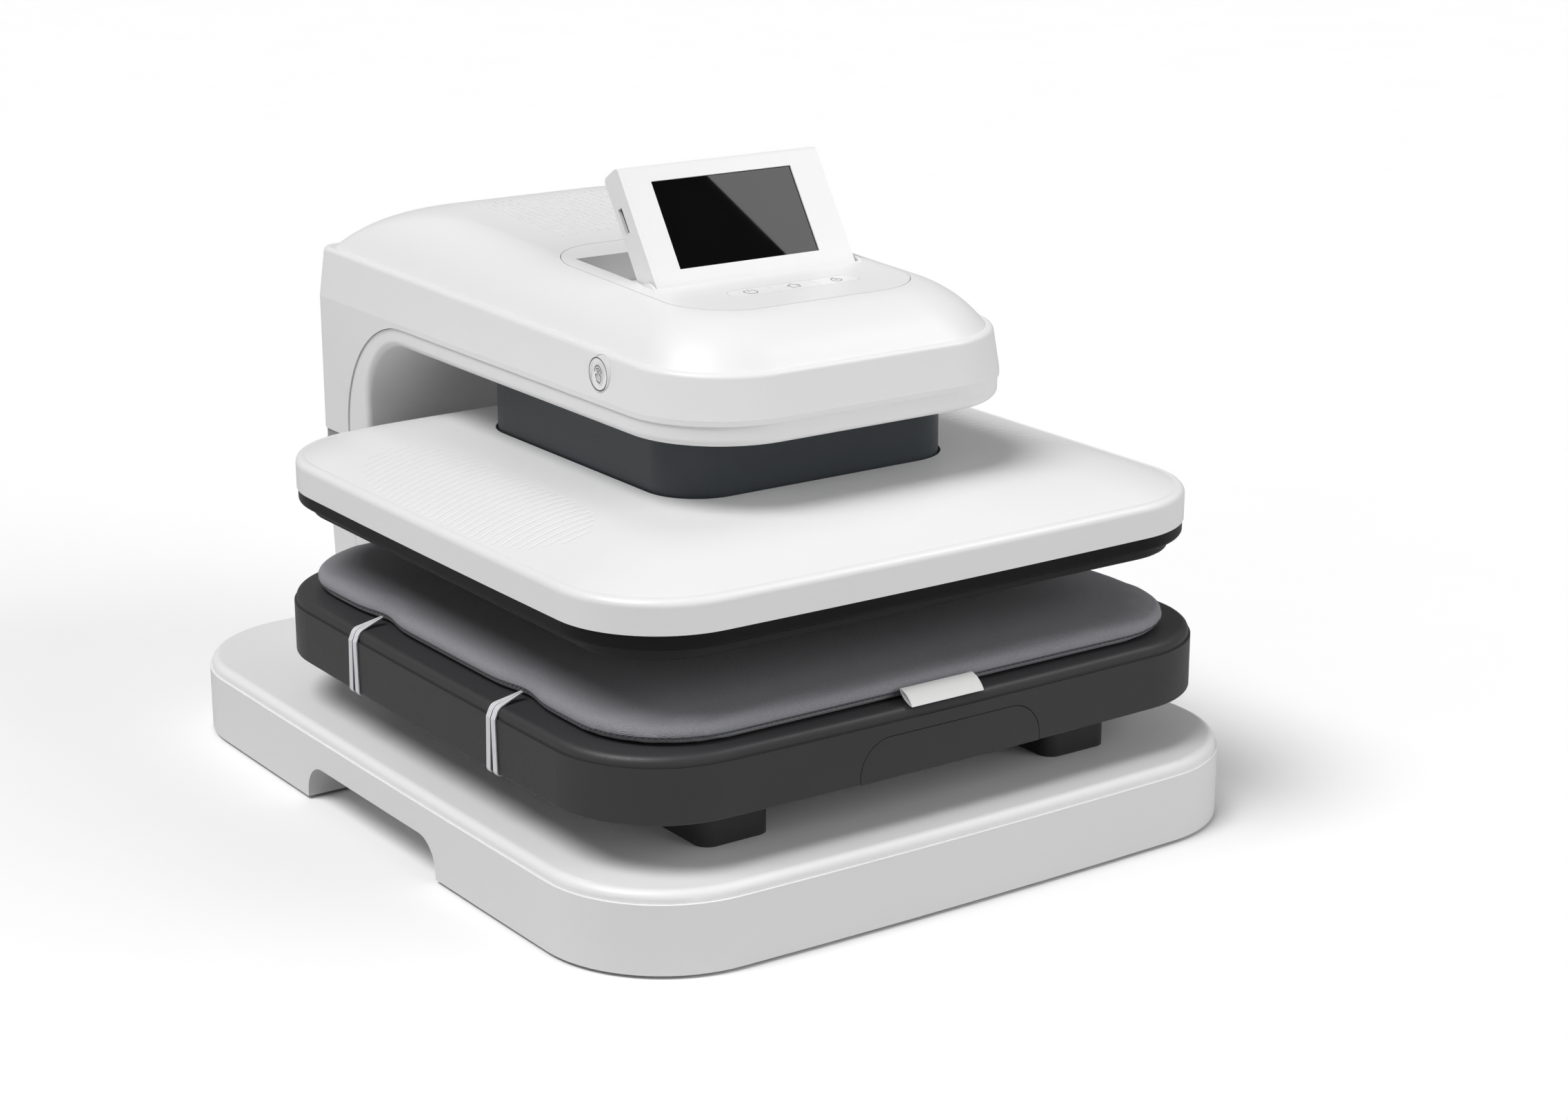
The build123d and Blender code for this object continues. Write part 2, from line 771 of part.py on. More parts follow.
# Press pad: a cushion with a drawn-in foot, a full side and a crowned top; each level
# is a share of its height and how far the outline is drawn in there
pad_levels = [(0.0, 5.0), (0.12, 2.0), (0.28, 0.4), (0.42, 0.0), (0.62, 0.4), (0.80, 1.5), (0.91, 3.5),
              (0.97, 8.0), (1.0, pad_crown_inset)]
with BuildPart() as press_pad:
    for rise_share, inset in pad_levels:
        with BuildSketch(Plane.XY.offset(pad_bottom + rise_share * pad_thickness)):
            with Locations((0, pad_place_y)):
                add(plan_outline(pad_width - 2 * inset, pad_depth - 2 * inset, pad_corner - inset / 2))
    loft(ruled=True)
press_pad.part.label = "press_pad"
export_step(press_pad.part, "parts/press_pad.step")

# Straps that hold the pad: out from its side, over the bed's lip, hooked under the wall
with BuildPart(mode=Mode.PRIVATE) as strap_right:
    offset_out = soft_gap + strap_thickness / 2
    pad_side = pad_width / 2 + offset_out
    level_top = bed_top + offset_out
    outside = bed_width / 2 + offset_out
    level_low = bed_bottom - offset_out
    inside = bed_width / 2 - bed_bow_side - bed_wall - bed_lip_inset - offset_out - 1
    top_round = bed_lip_round + offset_out
    low_round = 2.0
    with BuildSketch(Plane.XZ):
        with BuildLine():
            Line((pad_side, level_top), (outside - top_round, level_top))
            RadiusArc((outside - top_round, level_top), (outside, level_top - top_round), top_round)
            Line((outside, level_top - top_round), (outside, level_low + low_round))
            RadiusArc((outside, level_low + low_round), (outside - low_round, level_low), low_round)
            Line((outside - low_round, level_low), (inside + low_round, level_low))
            RadiusArc((inside + low_round, level_low), (inside, level_low + low_round), low_round)
            Line((inside, level_low + low_round), (inside, level_low + strap_hook))
        trace(line_width=strap_thickness)
    extrude(amount=strap_width / 2, both=True)
with BuildPart() as pad_straps:
    for place in strap_places:
        with Locations((0, place, 0)):
            add(strap_right.part)
            add(mirror(strap_right.part, about=Plane.YZ, mode=Mode.PRIVATE))
pad_straps.part.label = "pad_straps"
export_step(pad_straps.part, "parts/pad_straps.step")

# Blank tag sewn to the front of the pad
with BuildPart() as pad_tag:
    tag_back = pad_place_y - pad_depth / 2 - soft_gap
    tag_level = pad_bottom + pad_thickness / 2
    with BuildSketch(Plane.YZ.offset(tag_place_x)):
        with BuildLine():
            Polyline((tag_back, tag_level), (tag_back - tag_reach, tag_level - tag_drop),
                     (tag_back - tag_reach - tag_thickness, tag_level - tag_drop + tag_thickness),
                     (tag_back - tag_thickness, tag_level + tag_thickness),
                     (tag_back, tag_level + tag_thickness), close=True)
        make_face()
    extrude(amount=tag_width / 2, both=True)
pad_tag.part.label = "pad_tag"
export_step(pad_tag.part, "parts/pad_tag.step")

# Heating element: a bent tube in a milled channel, its two ends turned up
element_run = heat_plate_side / 2 - heat_plate_corner / 2 - element_pitch / 2 - element_margin
element_level = plate_top - element_radius - element_clearance
element_rows = 6
element_start_y = platen_place_y - element_pitch * (element_rows - 1) / 2
channel_side = 2 * (element_radius + element_clearance)
terminal_x = -element_run
terminal_ys = (element_start_y, element_start_y + element_pitch * (element_rows - 1))


def element_path():
    """Rows along X joined by half turns, as a wire at the element's level."""
    with BuildLine(mode=Mode.PRIVATE) as path:
        for row in range(element_rows):
            row_y = element_start_y + row * element_pitch
            heading = 1 if row % 2 == 0 else -1
            row_end = (heading * element_run, row_y, element_level)
            Line((-heading * element_run, row_y, element_level), row_end)
            if row < element_rows - 1:
                turn_reach = element_run + element_pitch / 2
                turn_middle = (heading * turn_reach, row_y + element_pitch / 2, element_level)
                turn_end = (heading * element_run, row_y + element_pitch, element_level)
                ThreePointArc(row_end, turn_middle, turn_end)
    return path.line


start_plane = Plane(origin=(-element_run, element_start_y, element_level), x_dir=(0, 1, 0), z_dir=(1, 0, 0))
with BuildPart() as heating_element:
    with BuildLine():
        add(element_path())
    with BuildSketch(start_plane):
        Circle(element_radius)
    sweep()
    with BuildSketch(Plane.XY.offset(element_level)):
        with Locations((terminal_x, terminal_ys[0]), (terminal_x, terminal_ys[1])):
            Circle(element_radius)
    extrude(amount=backing_top + terminal_reach - element_level)
    with Locations((terminal_x, terminal_ys[0], element_level), (terminal_x, terminal_ys[1], element_level)):
        Sphere(element_radius)
heating_element.part.label = "heating_element"
export_step(heating_element.part, "parts/heating_element.step")

# Heat plate: the aluminium slab that presses the pad
plate_screw_reach = heat_plate_side / 2 - plate_screw_margin
screw_spots = [(x, platen_place_y + y) for x, y in (
    (plate_screw_reach, 0), (-plate_screw_reach, 0), (0, plate_screw_reach), (0, -plate_screw_reach),
    (plate_screw_reach, plate_screw_side), (plate_screw_reach, -plate_screw_side),
    (-plate_screw_reach, plate_screw_side), (-plate_screw_reach, -plate_screw_side))]
plate_screw_bottom = plate_top - plate_screw_depth
with BuildPart() as heat_plate:
    with BuildSketch(Plane.XY.offset(plate_bottom)):
        with Locations((0, platen_place_y)):
            RectangleRounded(heat_plate_side, heat_plate_side, heat_plate_corner)
    extrude(amount=heat_plate_thickness)
    fillet(heat_plate.faces().sort_by(Axis.Z)[0].edges(), plate_edge_round)
    with BuildLine():
        add(element_path())
    with BuildSketch(start_plane):
        Rectangle(channel_side, channel_side)
    sweep(mode=Mode.SUBTRACT)
    with BuildSketch(Plane.XY.offset(plate_top)):
        with Locations((terminal_x, terminal_ys[0]), (terminal_x, terminal_ys[1])):
            Circle(element_radius + element_clearance)
        with Locations(*screw_spots):
            Circle(screw_radius_small + screw_clearance)
    extrude(amount=-channel_side, mode=Mode.SUBTRACT)
heat_plate.part.label = "heat_plate"
export_step(heat_plate.part, "parts/heat_plate.step")

# Insulation board and steel backing plate on top of the heat plate
sensor_spots = [(sensor_place_x, platen_place_y), (-sensor_place_x, platen_place_y)]
with BuildPart() as insulation_board:
    insulation_side = heat_plate_side - 2 * rim_flange - 2 * rim_gap
    with BuildSketch(Plane.XY.offset(plate_top)):
        with Locations((0, platen_place_y)):
            RectangleRounded(insulation_side, insulation_side, heat_plate_corner - rim_flange)
        with Locations(*screw_spots):
            Circle(screw_radius_small + screw_clearance, mode=Mode.SUBTRACT)
        with Locations(*sensor_spots):
            Circle(sensor_radius + screw_clearance, mode=Mode.SUBTRACT)
        with Locations((terminal_x, terminal_ys[0]), (terminal_x, terminal_ys[1])):
            Circle(element_radius + terminal_clearance, mode=Mode.SUBTRACT)
    extrude(amount=insulation_thickness)
insulation_board.part.label = "insulation_board"
export_step(insulation_board.part, "parts/insulation_board.step")

with BuildPart() as backing_plate:
    backing_side = heat_plate_side - 4 * backing_gap
    with BuildSketch(Plane.XY.offset(backing_bottom)):
        with Locations((0, platen_place_y)):
            RectangleRounded(backing_side, backing_side, heat_plate_corner)
        with Locations(*screw_spots):
            Circle(screw_radius_small + screw_clearance, mode=Mode.SUBTRACT)
        with Locations(*sensor_spots):
            Circle(sensor_radius + screw_clearance, mode=Mode.SUBTRACT)
        with Locations((terminal_x, terminal_ys[0]), (terminal_x, terminal_ys[1])):
            Circle(element_radius + terminal_clearance, mode=Mode.SUBTRACT)
    extrude(amount=backing_thickness)
backing_plate.part.label = "backing_plate"
export_step(backing_plate.part, "parts/backing_plate.step")

with BuildPart() as thermal_sensors:
    with BuildSketch(Plane.XY.offset(plate_top)):
        with Locations(*sensor_spots):
            Circle(sensor_radius)
    extrude(amount=insulation_thickness + backing_thickness + sensor_stand)
    chamfer(thermal_sensors.faces().group_by(Axis.Z)[-1].edges(), sensor_chamfer)
thermal_sensors.part.label = "thermal_sensors"
export_step(thermal_sensors.part, "parts/thermal_sensors.step")

with BuildPart() as platen_screws:
    with BuildSketch(Plane.XY.offset(plate_screw_bottom)):
        with Locations(*screw_spots):
            Circle(screw_radius_small)
    extrude(amount=backing_top - plate_screw_bottom)
    with BuildSketch(Plane.XY.offset(backing_top)):
        with Locations(*screw_spots):
            Circle(screw_head_radius)
    extrude(amount=screw_head_height)
    chamfer(platen_screws.faces().group_by(Axis.Z)[-1].edges(), screw_chamfer)
platen_screws.part.label = "platen_screws"
export_step(platen_screws.part, "parts/platen_screws.step")

# Platen rim: dark skirt round the heat plate, hung from the backing plate
with BuildPart() as platen_rim:
    rim_width = cover_width - 2 * rim_inset
    rim_depth = cover_depth - 2 * rim_inset
    add(slab(rim_width, rim_depth, cover_corner - rim_inset, cover_bow_side, cover_bow_front,
             rim_bottom, backing_bottom, platen_place_y))
    fillet(platen_rim.faces().sort_by(Axis.Z)[0].edges(), rim_round)
    rim_opening = heat_plate_side + 2 * rim_gap
    with BuildSketch(Plane.XY.offset(rim_bottom)):
        with Locations((0, platen_place_y)):
            RectangleRounded(rim_opening, rim_opening, heat_plate_corner + rim_gap)
    extrude(amount=rim_height - rim_flange_thickness, mode=Mode.SUBTRACT)
    with BuildSketch(Plane.XY.offset(rim_bottom)):
        with Locations((0, platen_place_y)):
            flange_opening = rim_opening - 2 * rim_flange
            RectangleRounded(flange_opening, flange_opening, heat_plate_corner + rim_gap - rim_flange)
    extrude(amount=rim_height, mode=Mode.SUBTRACT)
platen_rim.part.label = "platen_rim"
export_step(platen_rim.part, "parts/platen_rim.step")


def cover_dome(shrink, drop):
    """The gently crowned top of the platen cover, above its ridge."""
    steps = 5
    with BuildPart(mode=Mode.PRIVATE) as dome:
        for step in range(steps + 1):
            share = step / steps
            inset = cover_crown_inset + shrink + share * cover_crown_run
            level = cover_ridge - drop + cover_crown_rise * (1 - (1 - share) ** 2)
            corner = cover_corner - cover_crown_inset - share * cover_crown_run / 4
            with BuildSketch(Plane.XY.offset(level)):
                with Locations((0, platen_place_y)):
                    add(plan_outline(cover_width - 2 * inset, cover_depth - 2 * inset, corner,
                                     cover_bow_side, cover_bow_front))
        loft()
        inset = cover_crown_inset + shrink
        add(slab(cover_width - 2 * inset, cover_depth - 2 * inset, cover_corner - cover_crown_inset,
                 cover_bow_side, cover_bow_front, cover_ridge - drop - crown_foot, cover_ridge - drop,
                 platen_place_y))
    return dome.part


# Platen cover: white shell over the heated parts, open for the shroud
with BuildPart() as platen_cover:
    add(slab(cover_width, cover_depth, cover_corner, cover_bow_side, cover_bow_front,
             backing_bottom, cover_ridge, platen_place_y))
    fillet(platen_cover.faces().sort_by(Axis.Z)[-1].edges(), cover_ridge_round)
    add(cover_dome(0, 0))
    add(slab(cover_width - 2 * cover_wall, cover_depth - 2 * cover_wall, cover_corner - cover_wall,
             cover_bow_side, cover_bow_front, backing_bottom, cover_ridge - cover_wall, platen_place_y),
        mode=Mode.SUBTRACT)
    add(cover_dome(cover_wall, cover_wall), mode=Mode.SUBTRACT)
    with BuildSketch(Plane.XY.offset(backing_bottom)):
        with Locations((0, shroud_place_y)):
            RectangleRounded(shroud_width + 2 * shroud_cover_gap, shroud_depth + 2 * shroud_cover_gap,
                             shroud_corner + shroud_cover_gap)
    extrude(amount=cover_top, mode=Mode.SUBTRACT)
platen_cover.part.label = "platen_cover"
export_step(platen_cover.part, "parts/platen_cover.step")

# Lift shroud: the dark sleeve that hides the lift between platen and head
with BuildPart() as lift_shroud:
    with BuildSketch(Plane.XY.offset(backing_top)):
        with Locations((0, shroud_place_y)):
            RectangleRounded(shroud_width, shroud_depth, shroud_corner)
            RectangleRounded(shroud_width - 2 * shroud_wall, shroud_depth - 2 * shroud_wall,
                             shroud_corner - shroud_wall, mode=Mode.SUBTRACT)
    extrude(amount=shroud_top - backing_top)
    with BuildSketch(Plane.XY.offset(backing_top)):
        with Locations((0, shroud_place_y)):
            RectangleRounded(shroud_width + 2 * shroud_flange, shroud_depth + 2 * shroud_flange,
                             shroud_corner + shroud_flange)
            RectangleRounded(shroud_width - 2 * shroud_flange, shroud_depth - 2 * shroud_flange,
                             shroud_corner - shroud_flange, mode=Mode.SUBTRACT)
    extrude(amount=shroud_wall)
lift_shroud.part.label = "lift_shroud"
export_step(lift_shroud.part, "parts/lift_shroud.step")

# Carriage inside the shroud: plate, posts, bushes and nut
carriage_top = spine_bottom - carriage_drop
carriage_bottom = carriage_top - carriage_thickness
rod_rows_y = (shroud_place_y - rod_place_y, shroud_place_y + rod_place_y)
rod_spots = [(side * rod_place_x, y) for side in (-1, 1) for y in rod_rows_y]
post_spots = [(side * post_place_x, y) for side in (-1, 1) for y in rod_rows_y]
bush_radius = rod_radius + bush_clearance + bush_wall
motor_y = shroud_place_y - motor_offset
with BuildPart() as carriage_plate:
    with BuildSketch(Plane.XY.offset(carriage_bottom)):
        with Locations((0, shroud_place_y)):
            RectangleRounded(carriage_width, carriage_depth, bush_radius)
        with Locations((0, shroud_place_y - carriage_depth / 2)):
            bay_depth = carriage_depth / 2 - screw_pulley_radius - motor_bay_clearance
            Rectangle(motor_bay, 2 * bay_depth, mode=Mode.SUBTRACT)
        with Locations(*rod_spots):
            Circle(bush_radius, mode=Mode.SUBTRACT)
        with Locations((0, shroud_place_y)):
            Circle(lift_screw_radius + 1, mode=Mode.SUBTRACT)
    extrude(amount=carriage_thickness)
carriage_plate.part.label = "carriage_plate"
export_step(carriage_plate.part, "parts/carriage_plate.step")

with BuildPart() as carriage_posts:
    with BuildSketch(Plane.XY.offset(backing_top)):
        with Locations(*post_spots):
            Circle(post_radius)
    extrude(amount=carriage_bottom - backing_top)
carriage_posts.part.label = "carriage_posts"
export_step(carriage_posts.part, "parts/carriage_posts.step")

with BuildPart() as carriage_bushes:
    bush_middle = (carriage_top + carriage_bottom) / 2
    with BuildSketch(Plane.XY.offset(bush_middle - bush_length / 2)):
        with Locations(*rod_spots):
            Circle(bush_radius)
    extrude(amount=bush_length)
    with BuildSketch(Plane.XY.offset(carriage_top)):
        with Locations(*rod_spots):
            Circle(bush_radius + bush_flange)
    extrude(amount=bush_flange)
    with BuildSketch(Plane.XY.offset(bush_middle - bush_length / 2)):
        with Locations(*rod_spots):
            Circle(rod_radius + bush_clearance)
    extrude(amount=bush_length, mode=Mode.SUBTRACT)
carriage_bushes.part.label = "carriage_bushes"
export_step(carriage_bushes.part, "parts/carriage_bushes.step")

with BuildPart() as lift_nut:
    with BuildSketch(Plane.XY.offset(carriage_bottom - nut_length)):
        with Locations((0, shroud_place_y)):
            Circle(nut_radius)
    extrude(amount=nut_length)
    with BuildSketch(Plane.XY.offset(carriage_bottom - shroud_wall)):
        with Locations((0, shroud_place_y)):
            Circle(nut_flange)
    extrude(amount=shroud_wall)
    with BuildSketch(Plane.XY.offset(carriage_bottom - nut_length)):
        with Locations((0, shroud_place_y)):
            Circle(lift_screw_radius + bush_clearance)
    extrude(amount=nut_length, mode=Mode.SUBTRACT)
lift_nut.part.label = "lift_nut"
export_step(lift_nut.part, "parts/lift_nut.step")

# Guide rods, fixed in the head's frame
rod_bottom = bush_middle - bush_length / 2 - lift_stroke - rod_tail
with BuildPart() as guide_rods:
    with BuildSketch(Plane.XY.offset(rod_bottom)):
        with Locations(*rod_spots):
            Circle(rod_radius)
    extrude(amount=spine_top - rod_bottom)
    chamfer(guide_rods.faces().group_by(Axis.Z)[0].edges(), edge_break)
guide_rods.part.label = "guide_rods"
export_step(guide_rods.part, "parts/guide_rods.step")

# Lift screw and its pulley, turned by the belt
pulley_bottom = carriage_top + pulley_gap
bearing_bottom = spine_bottom - bearing_height
screw_bottom = carriage_bottom - nut_length - lift_stroke - 2
with BuildPart() as lift_screw:
    with BuildSketch(Plane.XY.offset(screw_bottom)):
        with Locations((0, shroud_place_y)):
            Circle(lift_screw_radius)
    extrude(amount=bearing_bottom - belt_clearance - screw_bottom)
    with BuildSketch(Plane.XY.offset(bearing_bottom - belt_clearance)):
        with Locations((0, shroud_place_y)):
            Circle(journal_radius)
    extrude(amount=bearing_height)
    chamfer(lift_screw.faces().sort_by(Axis.Z)[0].edges(), 1.0)
lift_screw.part.label = "lift_screw"
export_step(lift_screw.part, "parts/lift_screw.step")

with BuildPart() as screw_pulley:
    with BuildSketch(Plane.XY.offset(pulley_bottom)):
        with Locations((0, shroud_place_y)):
            Circle(screw_pulley_radius + pulley_lip_reach)
    extrude(amount=pulley_height)
    with BuildSketch(Plane.XY.offset(pulley_bottom + pulley_lip)):
        with Locations((0, shroud_place_y)):
            Circle(screw_pulley_radius + pulley_lip_reach)
            Circle(screw_pulley_radius, mode=Mode.SUBTRACT)
    extrude(amount=pulley_height - 2 * pulley_lip, mode=Mode.SUBTRACT)
    with BuildSketch(Plane.XY.offset(pulley_bottom)):
        with Locations((0, shroud_place_y)):
            Circle(lift_screw_radius)
    extrude(amount=pulley_height, mode=Mode.SUBTRACT)
screw_pulley.part.label = "screw_pulley"
export_step(screw_pulley.part, "parts/screw_pulley.step")

with BuildPart() as screw_bearing:
    with BuildSketch(Plane.XY.offset(bearing_bottom)):
        with Locations((0, shroud_place_y)):
            Circle(bearing_radius)
            Circle(journal_radius + bush_clearance, mode=Mode.SUBTRACT)
    extrude(amount=bearing_height)
    chamfer(screw_bearing.faces().sort_by(Axis.Z)[0].outer_wire().edges(), 1.0)
screw_bearing.part.label = "screw_bearing"
export_step(screw_bearing.part, "parts/screw_bearing.step")

# Geared motor on its bracket, with the small pulley on its shaft
bracket_top = pulley_bottom - pulley_gap
bracket_bottom = bracket_top - bracket_thickness
bracket_half = gearbox_radius + bracket_margin
standoff_x = bracket_half - standoff_margin
standoff_spots = [(side * standoff_x, motor_y + way * gearbox_radius) for side in (-1, 1) for way in (-1, 1)]
with BuildPart() as motor_bracket:
    with BuildSketch(Plane.XY.offset(bracket_bottom)):
        with Locations((0, motor_y)):
            RectangleRounded(2 * bracket_half, 2 * (gearbox_radius + standoff_radius), standoff_radius)
            Circle(motor_shaft_radius + 2, mode=Mode.SUBTRACT)
    extrude(amount=bracket_thickness)
    with BuildSketch(Plane.XY.offset(bracket_top)):
        with Locations(*standoff_spots):
            Circle(standoff_radius)
    extrude(amount=spine_bottom - bracket_top)
motor_bracket.part.label = "motor_bracket"
export_step(motor_bracket.part, "parts/motor_bracket.step")

with BuildPart() as gear_motor:
    with BuildSketch(Plane.XY.offset(bracket_bottom - gearbox_length)):
        with Locations((0, motor_y)):
            Circle(gearbox_radius)
    extrude(amount=gearbox_length)
    with BuildSketch(Plane.XY.offset(bracket_bottom - gearbox_length - motor_length)):
        with Locations((0, motor_y)):
            Circle(motor_radius)
    extrude(amount=motor_length)
    with BuildSketch(Plane.XY.offset(bracket_bottom)):
        with Locations((0, motor_y)):
            Circle(motor_shaft_radius + bush_clearance)
    extrude(amount=-gearbox_length / 3, mode=Mode.SUBTRACT)
gear_motor.part.label = "gear_motor"
export_step(gear_motor.part, "parts/gear_motor.step")

with BuildPart() as motor_pulley:
    with BuildSketch(Plane.XY.offset(pulley_bottom)):
        with Locations((0, motor_y)):
            Circle(motor_pulley_radius + pulley_lip_reach)
    extrude(amount=pulley_height)
    with BuildSketch(Plane.XY.offset(pulley_bottom + pulley_lip)):
        with Locations((0, motor_y)):
            Circle(motor_pulley_radius + pulley_lip_reach)
            Circle(motor_pulley_radius, mode=Mode.SUBTRACT)
    extrude(amount=pulley_height - 2 * pulley_lip, mode=Mode.SUBTRACT)
    with BuildSketch(Plane.XY.offset(bracket_bottom - gearbox_length / 3 + belt_clearance)):
        with Locations((0, motor_y)):
            Circle(motor_shaft_radius)
    extrude(amount=pulley_bottom - bracket_bottom + gearbox_length / 3 - belt_clearance)
motor_pulley.part.label = "motor_pulley"
export_step(motor_pulley.part, "parts/motor_pulley.step")


def belt_outline(growth):
    """Straight runs and wraps of the belt, as one filled shape grown off the pulleys."""
    with BuildSketch(mode=Mode.PRIVATE) as outline:
        with Locations((0, motor_y)):
            Circle(motor_pulley_radius + growth)
        with Locations((0, shroud_place_y)):
            Circle(screw_pulley_radius + growth)
        make_hull()
    return outline.sketch


with BuildPart() as drive_belt:
    with BuildSketch(Plane.XY.offset(pulley_bottom + pulley_lip + belt_clearance)):
        add(belt_outline(belt_clearance + belt_thickness))
        add(belt_outline(belt_clearance), mode=Mode.SUBTRACT)
    extrude(amount=pulley_height - 2 * (pulley_lip + belt_clearance))
drive_belt.part.label = "drive_belt"
export_step(drive_belt.part, "parts/drive_belt.step")

# Steel frame: two C plates and a bent spine that joins them
post_bottom = base_plate_top + post_gap
post_front = frame_rear - frame_post_depth
arm_bottom = spine_bottom - frame_arm_height
with BuildPart() as frame_sides:
    for side in (-1, 1):
        plate_x = side * tube_inner_x if side > 0 else side * frame_inside / 2
        with BuildSketch(Plane.YZ.offset(plate_x)) as plate_shape:
            with BuildLine():
                Polyline((frame_rear, post_bottom), (frame_rear, spine_bottom), (frame_front, spine_bottom),
                         (frame_front, arm_bottom), (post_front, arm_bottom), (post_front, post_bottom),
                         close=True)
            make_face()
            elbow = plate_shape.vertices().sort_by_distance((plate_x, post_front, arm_bottom))[0]
            fillet(elbow, frame_elbow)
            with Locations(*bolt_spots):
                Circle(bolt_radius + screw_clearance, mode=Mode.SUBTRACT)
        extrude(amount=-frame_steel)
frame_sides.part.label = "frame_sides"
export_step(frame_sides.part, "parts/frame_sides.step")

with BuildPart() as frame_bolts:
    for side in (-1, 1):
        with BuildSketch(Plane.YZ.offset(side * frame_inside / 2)):
            with Locations(*bolt_spots):
                Circle(bolt_radius)
        extrude(amount=side * bolt_reach)
        with BuildSketch(Plane.YZ.offset(side * frame_inside / 2)):
            with Locations(*bolt_spots):
                RegularPolygon(bolt_head_radius, bolt_head_sides)
        extrude(amount=-side * bolt_head_height)
frame_bolts.part.label = "frame_bolts"
export_step(frame_bolts.part, "parts/frame_bolts.step")

# Power inlet place on the drafted back of the column
column_span = trim_bottom - base_top
inlet_face_y = shell_rear - column_draft * (trim_bottom - inlet_z) / column_span
rear_lean = atan2(column_draft, column_span)
inlet_plane = Plane(origin=(inlet_x, inlet_face_y, inlet_z), x_dir=(-1, 0, 0),
                    z_dir=(0, cos(rear_lean), -sin(rear_lean)))
spine_back_front = frame_rear - frame_steel
case_screw_x = 84.0
case_screw_under_inlet = 22.0
case_screw_over_inlet = 56.0
case_screw_over_fan = 24.0
case_screw_levels = (inlet_z - case_screw_under_inlet, inlet_z + case_screw_over_inlet,
                     fan_z + case_screw_over_fan)
spine_cut_over_x = 8.0
spine_cut_over_z = 10.0
case_screw_spots = [(side * case_screw_x, z) for side in (-1, 1) for z in case_screw_levels]
with BuildPart() as frame_spine:
    with BuildSketch(Plane.XY.offset(spine_bottom)):
        with Locations((0, (frame_front + frame_rear) / 2)):
            Rectangle(2 * tube_inner_x - frame_steel, frame_rear - frame_front)
        with Locations(*rod_spots):
            Circle(rod_radius, mode=Mode.SUBTRACT)
    extrude(amount=spine_thickness)
    with BuildSketch(Plane.XZ.offset(-frame_rear)):
        with Locations((0, (spine_bottom + post_bottom) / 2)):
            Rectangle(frame_inside, spine_bottom - post_bottom)
        with Locations((0, fan_z)):
            Circle(fan_bore, mode=Mode.SUBTRACT)
        with Locations((inlet_x, inlet_z)):
            Rectangle(inlet_width + spine_cut_over_x, inlet_height + spine_cut_over_z, mode=Mode.SUBTRACT)
        with Locations(*case_screw_spots):
            Circle(screw_radius_small + screw_clearance, mode=Mode.SUBTRACT)
    extrude(amount=frame_steel)
frame_spine.part.label = "frame_spine"
export_step(frame_spine.part, "parts/frame_spine.step")

# Head shells: outer block, its hollow, and the curved seam between the two shells
outer_block = head_block(0, 0, trim_top)
hollow_block = head_block(shell_wall, crown_top_wall, trim_top - 1)
panel_origin_z = crown_front_z + (screen_lip_y - crown_front_y) * (crown_rear_z - crown_front_z) / (
    crown_rear_y - crown_front_y)
panel_normal = (0, -sin(panel_tilt), cos(panel_tilt))
panel_plane = Plane(origin=(0, screen_lip_y, panel_origin_z), x_dir=(1, 0, 0), z_dir=panel_normal)
panel_middle_u = ((panel_front + panel_rear) / 2 - screen_lip_y) / cos(panel_tilt)
panel_length = (panel_rear - panel_front) / cos(panel_tilt)


def panel_prism(growth, low, high):
    """Block over the panel's rounded outline, between two depths off the panel's face."""
    with BuildPart(mode=Mode.PRIVATE) as prism:
        with BuildSketch(panel_plane.offset(low)):
            with Locations((0, panel_middle_u)):
                RectangleRounded(panel_width + 2 * growth, panel_length + 2 * growth, panel_corner + growth)
        extrude(amount=high - low)
    return prism.part


